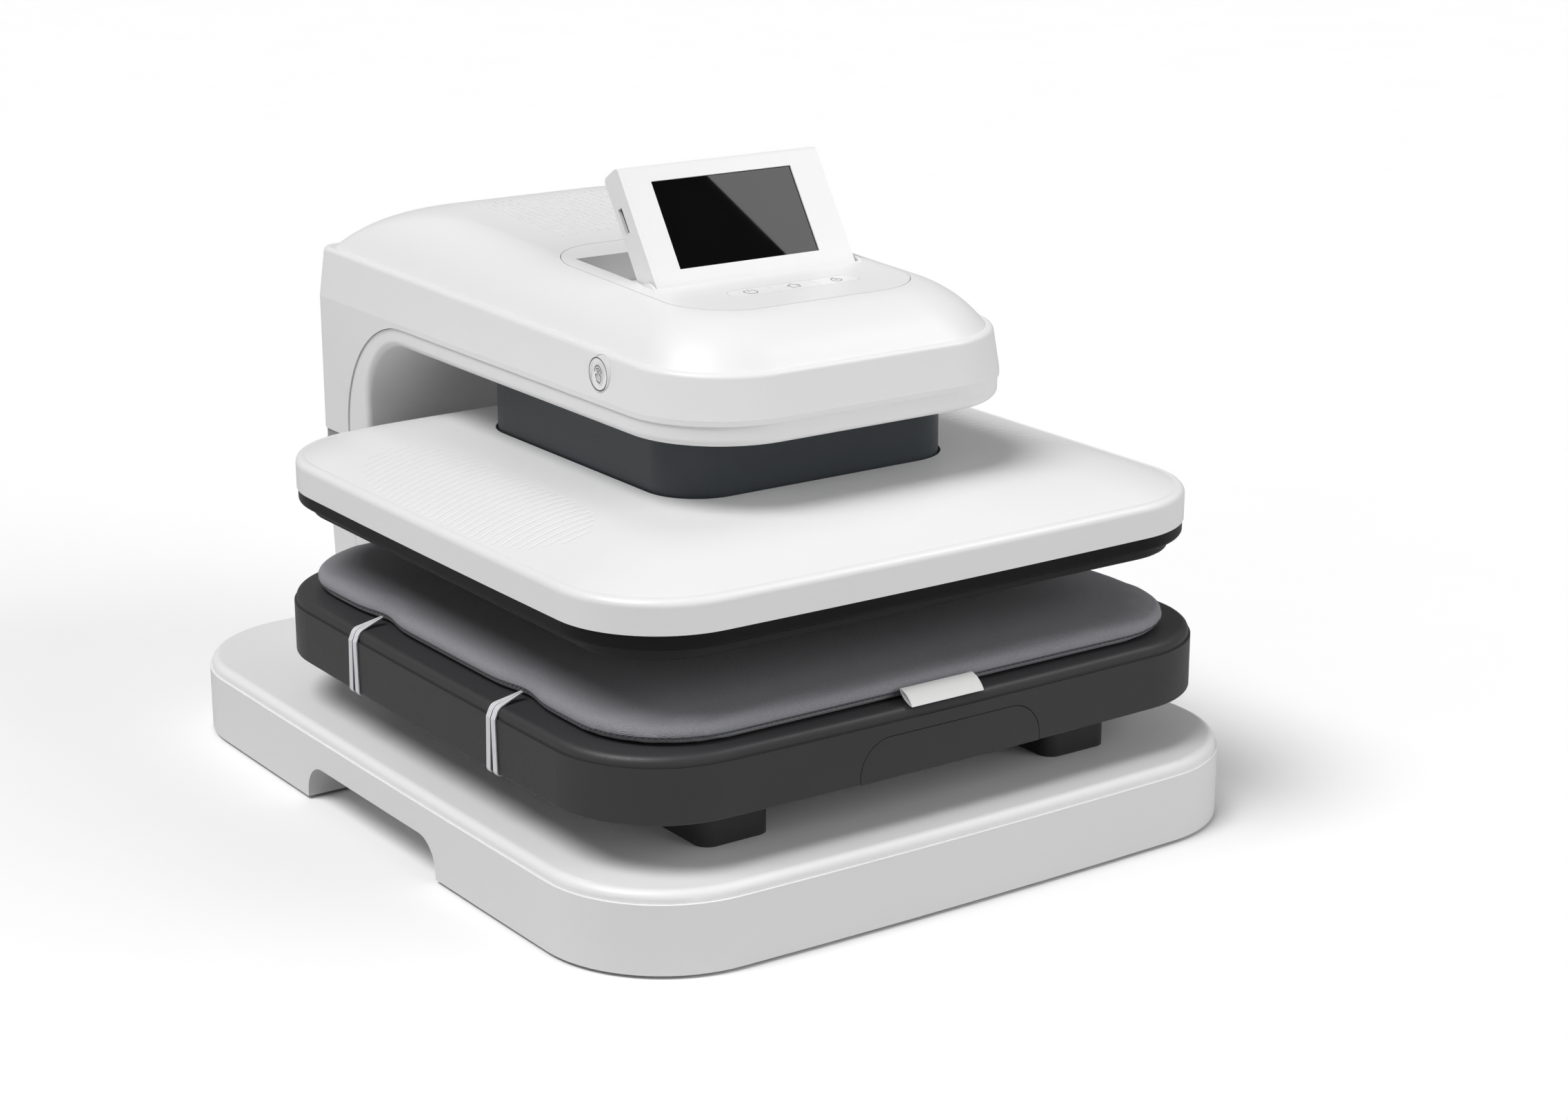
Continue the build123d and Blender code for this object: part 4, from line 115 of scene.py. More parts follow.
class MarkSettings(bpy.types.PropertyGroup):
    line: FloatProperty(
        name="Line", description="Width of the printed lines", default=0.00050, unit="LENGTH")
    key_size: FloatProperty(
        name="Key mark", description="Radius of the mark on a key", default=0.0038, unit="LENGTH")
    colour: FloatVectorProperty(
        name="Colour", description="Colour of the printed lines", subtype="COLOR",
        default=(0.06, 0.06, 0.065))


class StudioSettings(bpy.types.PropertyGroup):
    key_strength: FloatProperty(
        name="Key light", description="Strength of the large soft light from the left", default=2.45)
    key_spread: FloatProperty(
        name="Key spread", description="Width of the key light as the object sees it", subtype="ANGLE",
        default=math.radians(33.0))
    key_from: FloatVectorProperty(
        name="Key from", description="Direction that the key light comes from",
        default=(-0.46, 0.03, 0.885))
    side_strength: FloatProperty(
        name="Side light", description="Strength of the low soft light from the left", default=0.3)
    side_from: FloatVectorProperty(
        name="Side from", description="Direction that the side light comes from",
        default=(-0.90, -0.15, 0.20))
    fill_strength: FloatProperty(
        name="Fill light", description="Strength of the soft light from the front right", default=1.4)
    fill_spread: FloatProperty(
        name="Fill spread", description="Width of the fill light as the object sees it", subtype="ANGLE",
        default=math.radians(45.0))
    fill_from: FloatVectorProperty(
        name="Fill from", description="Direction that the fill light comes from",
        default=(0.55, -0.75, 0.37))
    sky: FloatProperty(
        name="Sky", description="Strength of the even light all round", default=0.22)
    card_power: FloatProperty(
        name="Card", description="Power of the card that the display reflects", default=2.8,
        unit="POWER")
    card_place: FloatVectorProperty(
        name="Card place", description="Middle of the card", default=(0.6256, -0.4653, 1.0052),
        subtype="TRANSLATION")
    card_turn: FloatVectorProperty(
        name="Card turn", description="Turn of the card, and so of its edge in the display",
        default=(0.8376, -0.0182, 0.8554), subtype="EULER")
    card_size: FloatVectorProperty(
        name="Card size", description="Width and height of the card", size=2, default=(0.20, 0.40),
        unit="LENGTH")
    floor_shade: FloatVectorProperty(
        name="Floor", description="Colour of the floor as it is seen", subtype="COLOR",
        default=(0.925, 0.925, 0.925))
    floor_bounce: FloatProperty(
        name="Floor bounce", description="Share of the light that the floor gives back to the object",
        default=0.45)
    camera_place: FloatVectorProperty(
        name="Camera", description="Place of the camera", default=(-0.951, -1.4455, 0.6521),
        subtype="TRANSLATION")
    camera_pitch: FloatProperty(
        name="Pitch", description="How far the camera looks down", subtype="ANGLE",
        default=math.radians(16.91))
    camera_turn: FloatProperty(
        name="Turn", description="Turn of the camera to the right of the front", subtype="ANGLE",
        default=math.radians(35.11))
    camera_lens: FloatProperty(
        name="Lens", description="Focal length in millimetres on a 36 mm sensor", default=70.19)


# Work in Blender

# Points nearer than this are one point
same_spot = 1e-6
touching = 1e-7


def object_mode():
    if bpy.context.object and bpy.context.object.mode != "OBJECT":
        bpy.ops.object.mode_set(mode="OBJECT")
    bpy.ops.object.select_all(action="DESELECT")


def choose(*objects):
    """Selects only these objects, and makes the first one active."""
    object_mode()
    for thing in objects:
        thing.select_set(True)
    bpy.context.view_layer.objects.active = objects[0]


def edit(thing, select="SELECT"):
    choose(thing)
    bpy.ops.object.mode_set(mode="EDIT")
    bpy.ops.mesh.select_all(action=select)


def settle(thing):
    """Puts a piece's place into its mesh, so that its object sits at the origin."""
    choose(thing)
    bpy.ops.object.transform_apply(location=True, rotation=True, scale=True)


def join(name, parts):
    choose(*parts)
    if len(parts) > 1:
        bpy.ops.object.join()
    joined = bpy.context.object
    joined.name = name
    joined.data.name = name
    return joined


def apply_modifier(thing, modifier):
    choose(thing)
    bpy.ops.object.modifier_apply(modifier=modifier.name)


def face_out(thing):
    edit(thing)
    bpy.ops.mesh.normals_make_consistent(inside=False)
    bpy.ops.object.mode_set(mode="OBJECT")


def stretch(thing, amounts, centre):
    edit(thing)
    bpy.ops.transform.resize(value=amounts, center_override=centre)
    bpy.ops.object.mode_set(mode="OBJECT")


def smooth_shade(thing):
    choose(thing)
    bpy.ops.object.shade_smooth()


def grow(strip, is_end, step):
    """Extrudes a strip by one step, from the edge between the vertices that are its end."""
    edit(strip, "DESELECT")
    bpy.ops.object.mode_set(mode="OBJECT")
    for vertex in strip.data.vertices:
        vertex.select = is_end(vertex)
    for line in strip.data.edges:
        line.select = all(strip.data.vertices[i].select for i in line.vertices)
    bpy.ops.object.mode_set(mode="EDIT")
    bpy.ops.mesh.extrude_region_move(TRANSFORM_OT_translate={"value": step})


def paint(thing, material):
    thing.data.materials.clear()
    thing.data.materials.append(material)


def copy_of_node(node, name):
    """A loose copy of a CAD node with its doubles merged."""
    copy = nodes[node].copy()
    copy.data = nodes[node].data.copy()
    for key in list(copy.keys()):
        del copy[key]
    copy.parent = None
    copy.name = name
    copy.data.name = name
    bpy.context.scene.collection.objects.link(copy)
    edit(copy)
    bpy.ops.mesh.remove_doubles(threshold=same_spot)
    face_out(copy)
    return copy


def smooth_step(value):
    value = max(0.0, min(1.0, value))
    return value * value * (3.0 - 2.0 * value)


# Node groups

full_turn = 2.0 * math.pi


def new_group(name, inputs, outputs):
    """A shader group with float inputs (name, default) and outputs (name, socket type)."""
    group = bpy.data.node_groups.new(name, "ShaderNodeTree")
    for label, default in inputs:
        socket = group.interface.new_socket(label, in_out="INPUT", socket_type="NodeSocketFloat")
        socket.default_value = default
    for label, kind in outputs:
        group.interface.new_socket(label, in_out="OUTPUT", socket_type=kind)
    group.nodes.new("NodeGroupInput")
    group.nodes.new("NodeGroupOutput")
    return group


class Wiring:
    """Short words for adding and linking nodes in one tree."""

    def __init__(self, tree):
        self.tree = tree
        self.count = 0

    def add(self, kind, **values):
        node = self.tree.nodes.new(kind)
        node.location = (220 * (self.count % 8), -260 * (self.count // 8))
        self.count += 1
        for key, value in values.items():
            setattr(node, key, value)
        return node

    def link(self, source, target):
        self.tree.links.new(source, target)

    def feed(self, socket, value):
        if isinstance(value, bpy.types.NodeSocket):
            self.link(value, socket)
        else:
            socket.default_value = value

    def maths(self, operation, first, second=0.0, third=0.0):
        node = self.add("ShaderNodeMath", operation=operation)
        for socket, value in zip(node.inputs, (first, second, third)):
            self.feed(socket, value)
        return node.outputs[0]

    def span(self, value, low, high, start=0.0, end=1.0):
        """Maps value from low..high to start..end, held at both ends."""
        node = self.add("ShaderNodeMapRange")
        for socket, given in zip(node.inputs, (value, low, high, start, end)):
            self.feed(socket, given)
        return node.outputs[0]

    def evened(self, noise, start=0.0, end=1.0):
        """Maps a noise from the range that it mostly keeps to start..end."""
        low, high = 0.3, 0.7
        return self.span(noise, low, high, start, end)

    def mix(self, factor, first, second):
        node = self.add("ShaderNodeMix", data_type="RGBA")
        self.feed(node.inputs[0], factor)
        self.feed(node.inputs[6], first)
        self.feed(node.inputs[7], second)
        return node.outputs[2]

    def noise(self, vector, scale, detail=2.0, roughness=0.5):
        node = self.add("ShaderNodeTexNoise")
        self.link(vector, node.inputs["Vector"])
        self.feed(node.inputs["Scale"], scale)
        self.feed(node.inputs["Detail"], detail)
        self.feed(node.inputs["Roughness"], roughness)
        return node.outputs["Fac"]

    def place(self):
        return self.add("ShaderNodeTexCoord").outputs["Object"]

    def stretched(self, vector, scale):
        node = self.add("ShaderNodeMapping")
        self.link(vector, node.inputs["Vector"])
        node.inputs["Scale"].default_value = scale
        return node.outputs["Vector"]

    def axes(self, vector):
        node = self.add("ShaderNodeSeparateXYZ")
        self.link(vector, node.inputs[0])
        return node.outputs


def ends_of(group):
    wiring = Wiring(group)
    start = next(n for n in group.nodes if n.type == "GROUP_INPUT").outputs
    end = next(n for n in group.nodes if n.type == "GROUP_OUTPUT").inputs
    return wiring, start, end


def grain_group():
    """Fine moulded or sanded grain, and broad uneven patches."""
    group = new_group(
        "Grain",
        [("Size", 0.001), ("Patch size", 0.15)],
        [("Grain", "NodeSocketFloat"), ("Patch", "NodeSocketFloat")])
    w, start, end = ends_of(group)
    place = w.place()
    fine = w.maths("DIVIDE", 1.0, start["Size"])
    broad = w.maths("DIVIDE", 1.0, start["Patch size"])
    w.link(w.noise(place, fine, 2.0), end["Grain"])
    w.link(w.evened(w.noise(place, broad, 3.0)), end["Patch"])
    return group


def brushed_group():
    """Fine parallel lines along X, as on drawn and brushed metal."""
    group = new_group("Brushed lines", [("Size", 0.0006)], [("Lines", "NodeSocketFloat")])
    w, start, end = ends_of(group)
    length_share = 0.02
    drawn = w.stretched(w.place(), (length_share, 1.0, 1.0))
    w.link(w.noise(drawn, w.maths("DIVIDE", 1.0, start["Size"]), 2.0), end["Lines"])
    return group


def twill_group():
    """Diagonal ribs of a woven twill, broken up by its yarns."""
    group = new_group(
        "Twill", [("Pitch", 0.0008)],
        [("Rib", "NodeSocketFloat"), ("Yarn", "NodeSocketFloat")])
    w, start, end = ends_of(group)
    wobble_scale, wobble_turn, yarn_scale = 420.0, 3.0, 1500.0
    place = w.place()
    x, y, z = w.axes(place)
    across = w.maths("ADD", w.maths("ADD", x, y), z)
    turn = w.maths("DIVIDE", w.maths("MULTIPLY", across, full_turn), start["Pitch"])
    wobble = w.maths("MULTIPLY", w.noise(place, wobble_scale, 1.0), wobble_turn)
    rib = w.maths("SINE", w.maths("ADD", turn, wobble))
    w.link(w.span(rib, -1.0, 1.0), end["Rib"])
    w.link(w.evened(w.noise(place, yarn_scale, 2.0)), end["Yarn"])
    return group


def groove_group():
    """Two fields of fine grooves along X, one on each side, with rounded outlines."""
    group = new_group(
        "Groove fields",
        [("Middle", 0.16), ("Half length", 0.03), ("Centre", 0.0), ("Half depth", 0.1),
         ("Pitch", 0.0065), ("Groove", 0.0009)],
        [("Groove", "NodeSocketFloat")])
    w, start, end = ends_of(group)
    # The outline narrows to a quarter at its ends, and is nearly straight between them
    squareness, narrowing = 6.0, 0.75
    end_fade, side_fade, flat_share = 0.0008, 0.0005, 0.35
    sides_below, top_above = cover_low.z + 0.008, cover_low.z + 0.010
    x, y, z = w.axes(w.place())
    out = w.maths("ABSOLUTE", w.maths("SUBTRACT", w.maths("ABSOLUTE", x), start["Middle"]))
    along = w.maths("ABSOLUTE", w.maths("SUBTRACT", y, start["Centre"]))
    rim = w.maths("DIVIDE", along, start["Half depth"])
    shorter = w.maths("MULTIPLY", w.maths("POWER", rim, squareness), narrowing)
    reach = w.maths("MULTIPLY", start["Half length"], w.maths("SUBTRACT", 1.0, shorter))
    inside = w.span(w.maths("SUBTRACT", reach, out), 0.0, end_fade)
    within = w.span(w.maths("SUBTRACT", start["Half depth"], along), 0.0, side_fade)
    steps = w.maths("DIVIDE", w.maths("SUBTRACT", y, start["Centre"]), start["Pitch"])
    off = w.maths("MULTIPLY", w.maths("PINGPONG", steps, 0.5), start["Pitch"])
    flat = w.maths("MULTIPLY", start["Groove"], flat_share)
    line = w.span(off, flat, start["Groove"], 1.0, 0.0)
    top = w.span(z, sides_below, top_above)
    field = w.maths("MULTIPLY", w.maths("MULTIPLY", inside, within), top)
    w.link(w.maths("MULTIPLY", line, field), end["Groove"])
    return group


groups = {}


def use_group(wiring, name, **values):
    node = wiring.add("ShaderNodeGroup")
    node.node_tree = groups[name]
    for label, value in values.items():
        wiring.feed(node.inputs[label.replace("_", " ").capitalize()], value)
    return node.outputs


# Materials

def new_material(name, **constants):
    """A material with its Principled shader's plain sockets set."""
    material = bpy.data.materials.new(name)
    material.use_nodes = True
    shader = material.node_tree.nodes["Principled BSDF"]
    for label, value in constants.items():
        shader.inputs[label.replace("_", " ")].default_value = value
    return material, Wiring(material.node_tree), shader


def add_bump(wiring, shader, height, distance, strength=1.0):
    bump = wiring.add("ShaderNodeBump")
    bump.inputs["Strength"].default_value = strength
    bump.inputs["Distance"].default_value = distance
    wiring.link(height, bump.inputs["Height"])
    wiring.link(bump.outputs[0], shader.inputs["Normal"])


def shade(colour, amount):
    return tuple(min(1.0, max(0.0, c * amount)) for c in colour[:3]) + (1.0,)


gloss_change = 0.05


def moulded(name, colour, rough, size=0.0011, depth=0.00002, change=0.03, **constants):
    """Plastic with moulded grain, faint patches and a little change of gloss."""
    material, w, shader = new_material(name, **constants)
    made = use_group(w, "grain", size=size)
    w.link(w.mix(made["Patch"], shade(colour, 1.0 - change), shade(colour, 1.0 + change)),
           shader.inputs["Base Color"])
    w.link(w.evened(made["Grain"], rough - gloss_change, rough + gloss_change),
           shader.inputs["Roughness"])
    add_bump(w, shader, made["Grain"], depth)
    return material


def grooved_shell(name, colour, rough, **constants):
    """The cover's white plastic, with its two fields of fine grooves, which are painted lighter as
    painted highlights.
    """
    material, w, shader = new_material(name, **constants)
    field_set_back, groove_highlight_share, groove_depth, grain_share = 0.0055, 0.5, 0.0003, 0.03
    made = use_group(w, "grain", size=0.0011)
    field = use_group(
        w, "grooves", middle=0.166, half_length=0.029,
        centre=0.5 * (cover_low.y + cover_high.y) + field_set_back,
        half_depth=0.107, pitch=0.0066, groove=0.0011)
    plain = w.mix(made["Patch"], shade(colour, 0.985), shade(colour, 1.01))
    # The grooves are painted lighter than the shell, as painted highlights along them.
    w.link(w.mix(w.maths("MULTIPLY", field["Groove"], groove_highlight_share), plain, shade(colour, 1.12)),
           shader.inputs["Base Color"])
    w.link(w.evened(made["Grain"], rough - gloss_change, rough + gloss_change),
           shader.inputs["Roughness"])
    depth = w.maths("SUBTRACT", w.maths("MULTIPLY", made["Grain"], grain_share), field["Groove"])
    add_bump(w, shader, depth, groove_depth)
    return material


def metal(name, colour, rough, size=0.0006, depth=0.00001, **constants):
    """Turned, drawn or cast metal with fine lines along X."""
    material, w, shader = new_material(name, Metallic=1.0, **constants)
    lines = use_group(w, "brushed", size=size)["Lines"]
    patch = use_group(w, "grain", size=size, patch_size=0.04)["Patch"]
    w.link(w.mix(patch, shade(colour, 0.9), shade(colour, 1.06)), shader.inputs["Base Color"])
    w.link(w.evened(lines, rough - 0.08, rough + 0.1), shader.inputs["Roughness"])
    add_bump(w, shader, lines, depth)
    return material


def twill_cloth(name, light, dark, seam_height):
    """The pad's grey twill, with the shallow line that its hem stitches pull in, painted darker there as
    painted shade.
    """
    material, w, shader = new_material(name, Sheen_Weight=0.08, Sheen_Roughness=0.5)
    wear, seam_shade_share, seam_depth, weave_depth = 0.12, 0.8, 2.5, 0.00022
    seam_core, seam_edge = 0.0002, 0.0009
    made = use_group(w, "twill", pitch=0.0010)
    weave = w.maths("MULTIPLY", w.maths("ADD", made["Rib"], made["Yarn"]), 0.5)
    patch = use_group(w, "grain", size=0.001, patch_size=0.09)["Patch"]
    base = w.mix(weave, shade(dark, 1.0), shade(light, 1.0))
    base = w.mix(w.maths("MULTIPLY", patch, wear), base, shade(dark, 0.9))
    off = w.maths("ABSOLUTE", w.maths("SUBTRACT", w.axes(w.place())[2], seam_height))
    seam = w.span(off, seam_core, seam_edge, 1.0, 0.0)
    # The seam line is painted darker, as painted shade in the line that the stitches pull in.
    w.link(w.mix(w.maths("MULTIPLY", seam, seam_shade_share), base, shade(dark, 0.25)),
           shader.inputs["Base Color"])
    w.link(w.span(made["Yarn"], 0.0, 1.0, 0.78, 0.95), shader.inputs["Roughness"])
    height = w.maths("SUBTRACT", weave, w.maths("MULTIPLY", seam, seam_depth))
    add_bump(w, shader, height, weave_depth)
    return material


def ribbed_elastic(name, colour):
    """Covered elastic: three ribs across the tape and fine yarns along it, with painted shade between
    the ribs.
    """
    material, w, shader = new_material(name, Roughness=0.8, Sheen_Weight=0.2)
    rib_count, pick_pitch, pick_share, rib_depth = 3, 0.0007, 0.25, 0.0003
    u, v, _ = w.axes(w.add("ShaderNodeUVMap", uv_map="tape").outputs[0])
    ribs = w.maths("ABSOLUTE", w.maths("SINE", w.maths("MULTIPLY", u, rib_count * math.pi)))
    picks = w.span(w.maths("SINE", w.maths("MULTIPLY", v, full_turn / pick_pitch)), -1.0, 1.0)
    height = w.maths("ADD", ribs, w.maths("MULTIPLY", picks, pick_share))
    # The valleys between the ribs are painted darker, as painted shade.
    w.link(w.mix(w.span(ribs, 0.0, 0.7), shade(colour, 0.62), shade(colour, 1.0)),
           shader.inputs["Base Color"])
    add_bump(w, shader, height, rib_depth)
    return material


def woven_tape(name, colour):
    """The tag's smooth woven tape."""
    material, w, shader = new_material(name, Sheen_Weight=0.1)
    yarn_pitch, yarn_depth = 0.0006, 0.00008
    x, y, z = w.axes(w.place())
    warp = w.maths("SINE", w.maths("MULTIPLY", x, full_turn / yarn_pitch))
    weft = w.maths("SINE", w.maths("MULTIPLY", w.maths("SUBTRACT", y, z), full_turn / yarn_pitch))
    weave = w.span(w.maths("MULTIPLY", warp, weft), -1.0, 1.0)
    w.link(w.mix(weave, shade(colour, 0.9), shade(colour, 1.0)), shader.inputs["Base Color"])
    w.link(w.span(weave, 0.0, 1.0, 0.8, 0.7), shader.inputs["Roughness"])
    add_bump(w, shader, weave, yarn_depth)
    return material


def board_lacquer(name, colour):
    """A circuit board's lacquer over its tracks."""
    material, w, shader = new_material(name, Coat_Weight=0.4)
    track_scale, gap_edge, track_edge, track_height = 260.0, 0.05, 0.09, 0.00004
    cells = w.add("ShaderNodeTexVoronoi", feature="DISTANCE_TO_EDGE", distance="CHEBYCHEV")
    w.link(w.place(), cells.inputs["Vector"])
    cells.inputs["Scale"].default_value = track_scale
    track = w.span(cells.outputs["Distance"], gap_edge, track_edge)
    w.link(w.mix(track, shade(colour, 1.6), shade(colour, 1.0)), shader.inputs["Base Color"])
    w.link(w.span(track, 0.0, 1.0, 0.3, 0.42), shader.inputs["Roughness"])
    add_bump(w, shader, track, track_height)
    return material


def cover_glass(name):
    """The display's black cover glass, with a faint uneven haze."""
    material, w, shader = new_material(name, Specular_IOR_Level=0.12)
    patch = use_group(w, "grain", size=0.002, patch_size=0.05)["Patch"]
    w.link(w.mix(patch, (0.0012, 0.0012, 0.0014, 1.0), (0.0022, 0.0022, 0.0025, 1.0)),
           shader.inputs["Base Color"])
    w.link(w.span(patch, 0.0, 1.0, 0.012, 0.02), shader.inputs["Roughness"])
    return material


white = (0.80, 0.80, 0.80)
charcoal = (0.034, 0.034, 0.036)
slate = (0.030, 0.036, 0.041)
near_black = (0.008, 0.008, 0.009)

finished = {
    "white": "base_shell head_top_shell head_lining column_front_cover column_rear_cover"
             " control_panel screen_bezel screen_back",
    "cover": "platen_cover",
    "key": "power_key home_key menu_key start_button",
    "charcoal": "bed_shell bed_handle",
    "rail": "rail_housings",
    "slate": "lift_shroud",
    "rim": "platen_rim",
    "trim": "column_trim",
    "rubber": "rubber_feet drive_belt",
    "plate": "heat_plate",
    "aluminium": "backing_plate bed_support screw_pulley",
    "powder coat": "base_frame base_plate frame_sides frame_spine motor_bracket carriage_plate"
                   " bed_tracks",
    "steel": "frame_bolts case_screws platen_screws guide_rods carriage_posts lift_screw motor_pulley"
             " gear_motor power_supply screw_bearing heating_element",
    "brass": "carriage_bushes lift_nut",
    "nylon": "glide_shoes",
    "black plastic": "display_module fan_frame fan_rotor micro_switches power_inlet rocker_switch"
                     " thermal_sensors",
    "board": "key_board control_board",
    "fibre": "insulation_board",
    "glass": "screen_glass",
}


def make_finishes():
    groups["grain"] = grain_group()
    groups["brushed"] = brushed_group()
    groups["twill"] = twill_group()
    groups["grooves"] = groove_group()
    return {
        "white": moulded("White shell", white, 0.42, change=0.008),
        "cover": grooved_shell("White cover", white, 0.36),
        "key": moulded("Key white", (0.86, 0.86, 0.86), 0.34, size=0.0015, change=0.006),
        "charcoal": moulded("Charcoal shell", charcoal, 0.5, change=0.06),
        "rail": moulded("Rail black", (0.022, 0.022, 0.023), 0.42, change=0.08),
        "slate": moulded("Slate shroud", slate, 0.46, change=0.05),
        "rim": moulded("Black rim", near_black, 0.44, change=0.1, Specular_IOR_Level=0.15),
        "trim": moulded("Grey trim", (0.30, 0.30, 0.31), 0.5),
        "rubber": moulded("Rubber", (0.02, 0.02, 0.02), 0.85, size=0.0006, depth=0.00008, change=0.15),
        "plate": moulded("Coated plate", (0.016, 0.016, 0.017), 0.5, size=0.0008, depth=0.00003,
                         change=0.15, Metallic=0.3),
        "aluminium": metal("Aluminium", (0.62, 0.62, 0.63), 0.38),
        "powder coat": moulded("Powder coat", (0.03, 0.03, 0.032), 0.55, size=0.0007,
                               depth=0.00006, change=0.1),
        "steel": metal("Bright steel", (0.58, 0.58, 0.58), 0.28),
        "brass": metal("Brass", (0.74, 0.53, 0.24), 0.3),
        "nylon": moulded("Nylon", (0.72, 0.71, 0.66), 0.5, Subsurface_Weight=0.05),
        "black plastic": moulded("Black plastic", (0.018, 0.018, 0.019), 0.5, change=0.1),
        "board": board_lacquer("Board lacquer", (0.01, 0.10, 0.045)),
        "fibre": moulded("Fibre board", (0.55, 0.52, 0.46), 0.9, size=0.0014, depth=0.00015,
                         change=0.08),
        "glass": cover_glass("Cover glass"),
    }


class HEATPRESS_OT_finishes(bpy.types.Operator):
    """Gives each CAD node that is listed in finished a procedural material"""
    bl_idname = "heatpress.finishes"
    bl_label = "Finish the shells and works"

    def execute(self, context):
        finishes = make_finishes()
        for finish, names in finished.items():
            for name in names.split():
                for slot in nodes[name].material_slots:
                    slot.material = finishes[finish]
        return {"FINISHED"}


# The pad

def pull_in(pad, settings, bands):
    """Moves the pad's edge in and down where the elastic holds it, and keeps its top level
    under the plate that is pressed on it."""
    places = (bands.rear_place, bands.front_place)
    pull_share, press_share, pull_width, press_depth = 0.20, 0.10, 0.017, 0.0022
    wave_height, wave_along, wave_across, wave_start = 0.0003, 47.0, 39.0, 0.6
    plate_room = 0.0002
    half = 0.5 * (pad_high.x - pad_low.x)
    middle = 0.5 * (pad_high.x + pad_low.x)
    for vertex in pad.data.vertices:
        point = vertex.co
        out = abs(point.x - middle) / half
        edge = smooth_step((out - 1.0 + pull_share) / pull_share)
        near = sum(math.exp(-((point.y - place) / pull_width) ** 2) for place in places)
        side = 1.0 if point.x > middle else -1.0
        point.x -= side * settings.pinch * edge * near
        rise = (point.z - pad_low.z) / (pad_high.z - pad_low.z)
        point.z -= press_depth * smooth_step((out - 1.0 + press_share) / press_share) * near * rise
        wave = math.sin(point.y * wave_along + side) * math.sin(point.x * wave_across + wave_start)
        point.z += wave_height * wave * rise
        point.z = min(point.z, pad_high.z - plate_room)


def sewn_pad(settings, bands):
    """The felt pad: the CAD solid remeshed, swollen a little as cloth, and held by its bands."""
    height_share, cell, held_height, pressure, last_frame = 0.95, 0.003, 0.0008, 4.0, 20
    pad = copy_of_node("press_pad", "felt_pad")
    shrink = 1.0 - settings.swell / (0.5 * (pad_high.x - pad_low.x))
    stretch(pad, (shrink, shrink, height_share), (0.0, 0.5 * (pad_low.y + pad_high.y), pad_low.z))
    remesh = pad.modifiers.new("Remesh", "REMESH")
    remesh.mode = "VOXEL"
    remesh.voxel_size = cell
    apply_modifier(pad, remesh)
    before = [vertex.co.copy() for vertex in pad.data.vertices]
    lying = pad.vertex_groups.new(name="lying")
    held = [v.index for v in pad.data.vertices if v.co.z < pad_low.z + held_height]
    lying.add(held, 1.0, "REPLACE")
    cloth = pad.modifiers.new("Cloth", "CLOTH")
    cloth.settings.use_pressure = True
    cloth.settings.uniform_pressure_force = pressure
    cloth.settings.vertex_group_mass = "lying"
    cloth.settings.effector_weights.gravity = 0.0
    for number in range(1, last_frame + 1):
        bpy.context.scene.frame_set(number)
    apply_modifier(pad, cloth)
    bpy.context.scene.frame_set(1)
    for vertex, start in zip(pad.data.vertices, before):
        moved = vertex.co - start
        if moved.length > settings.swell:
            vertex.co = start + moved.normalized() * settings.swell
    pull_in(pad, settings, bands)
    finer = pad.modifiers.new("Finer", "SUBSURF")
    finer.levels = 1
    finer.render_levels = 1
    apply_modifier(pad, finer)
    smooth_shade(pad)
    return pad


def hem_line(pad, height):
    """The closed line round the pad at one height, as a curve."""
    line = pad.copy()
    line.data = pad.data.copy()
    bpy.context.scene.collection.objects.link(line)
    edit(line)
    bpy.ops.mesh.bisect(
        plane_co=(0.0, 0.0, height), plane_no=(0.0, 0.0, 1.0),
        clear_inner=True, clear_outer=True, use_fill=False)
    bpy.ops.object.mode_set(mode="OBJECT")
    choose(line)
    bpy.ops.object.convert(target="CURVE")
    return bpy.context.object


def hem_stitches(pad, settings):
    """A row of short stitches round the pad's side, laid along the line of the hem."""
    line = hem_line(pad, pad_low.z + settings.stitch_height)
    thread_radius, thread_round, shown_share = 0.00042, 0.00018, 0.72
    object_mode()
    bpy.ops.mesh.primitive_cylinder_add(
        vertices=6, radius=thread_radius, depth=settings.stitch_pitch * shown_share,
        rotation=(0.0, 0.5 * math.pi, 0.0))
    stitch = bpy.context.object
    settle(stitch)
    edit(stitch)
    bpy.ops.mesh.bevel(offset=thread_round, segments=1, affect="EDGES")
    bpy.ops.object.mode_set(mode="OBJECT")
    stitch.name = "hem_stitches"
    row = stitch.modifiers.new("Row", "ARRAY")
    row.fit_type = "FIT_CURVE"
    row.curve = line
    row.use_relative_offset = False
    row.use_constant_offset = True
    row.constant_offset_displace = (settings.stitch_pitch, 0.0, 0.0)
    apply_modifier(stitch, row)
    bend = stitch.modifiers.new("Bend", "CURVE")
    bend.object = line
    bend.deform_axis = "POS_X"
    apply_modifier(stitch, bend)
    bpy.data.objects.remove(line)
    smooth_shade(stitch)
    return stitch


class HEATPRESS_OT_pad(bpy.types.Operator):
    """Makes the felt pad with its twill cover and the stitches of its hem"""
    bl_idname = "heatpress.pad"
    bl_label = "Make the pad"

    def execute(self, context):
        settings = context.scene.heatpress_pad
        pad = sewn_pad(settings, context.scene.heatpress_bands)
        paint(pad, twill_cloth("Grey twill", settings.cloth_light, settings.cloth_dark,
                               pad_low.z + settings.stitch_height))
        stitches = hem_stitches(pad, settings)
        thread = shade(settings.cloth_dark, 0.35)
        paint(stitches, moulded("Hem thread", thread, 0.8, size=0.0004, depth=0.00005, change=0.2))
        for piece in (pad, stitches):
            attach(piece, "bed")
        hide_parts("press_pad")
        return {"FINISHED"}


# The elastic bands

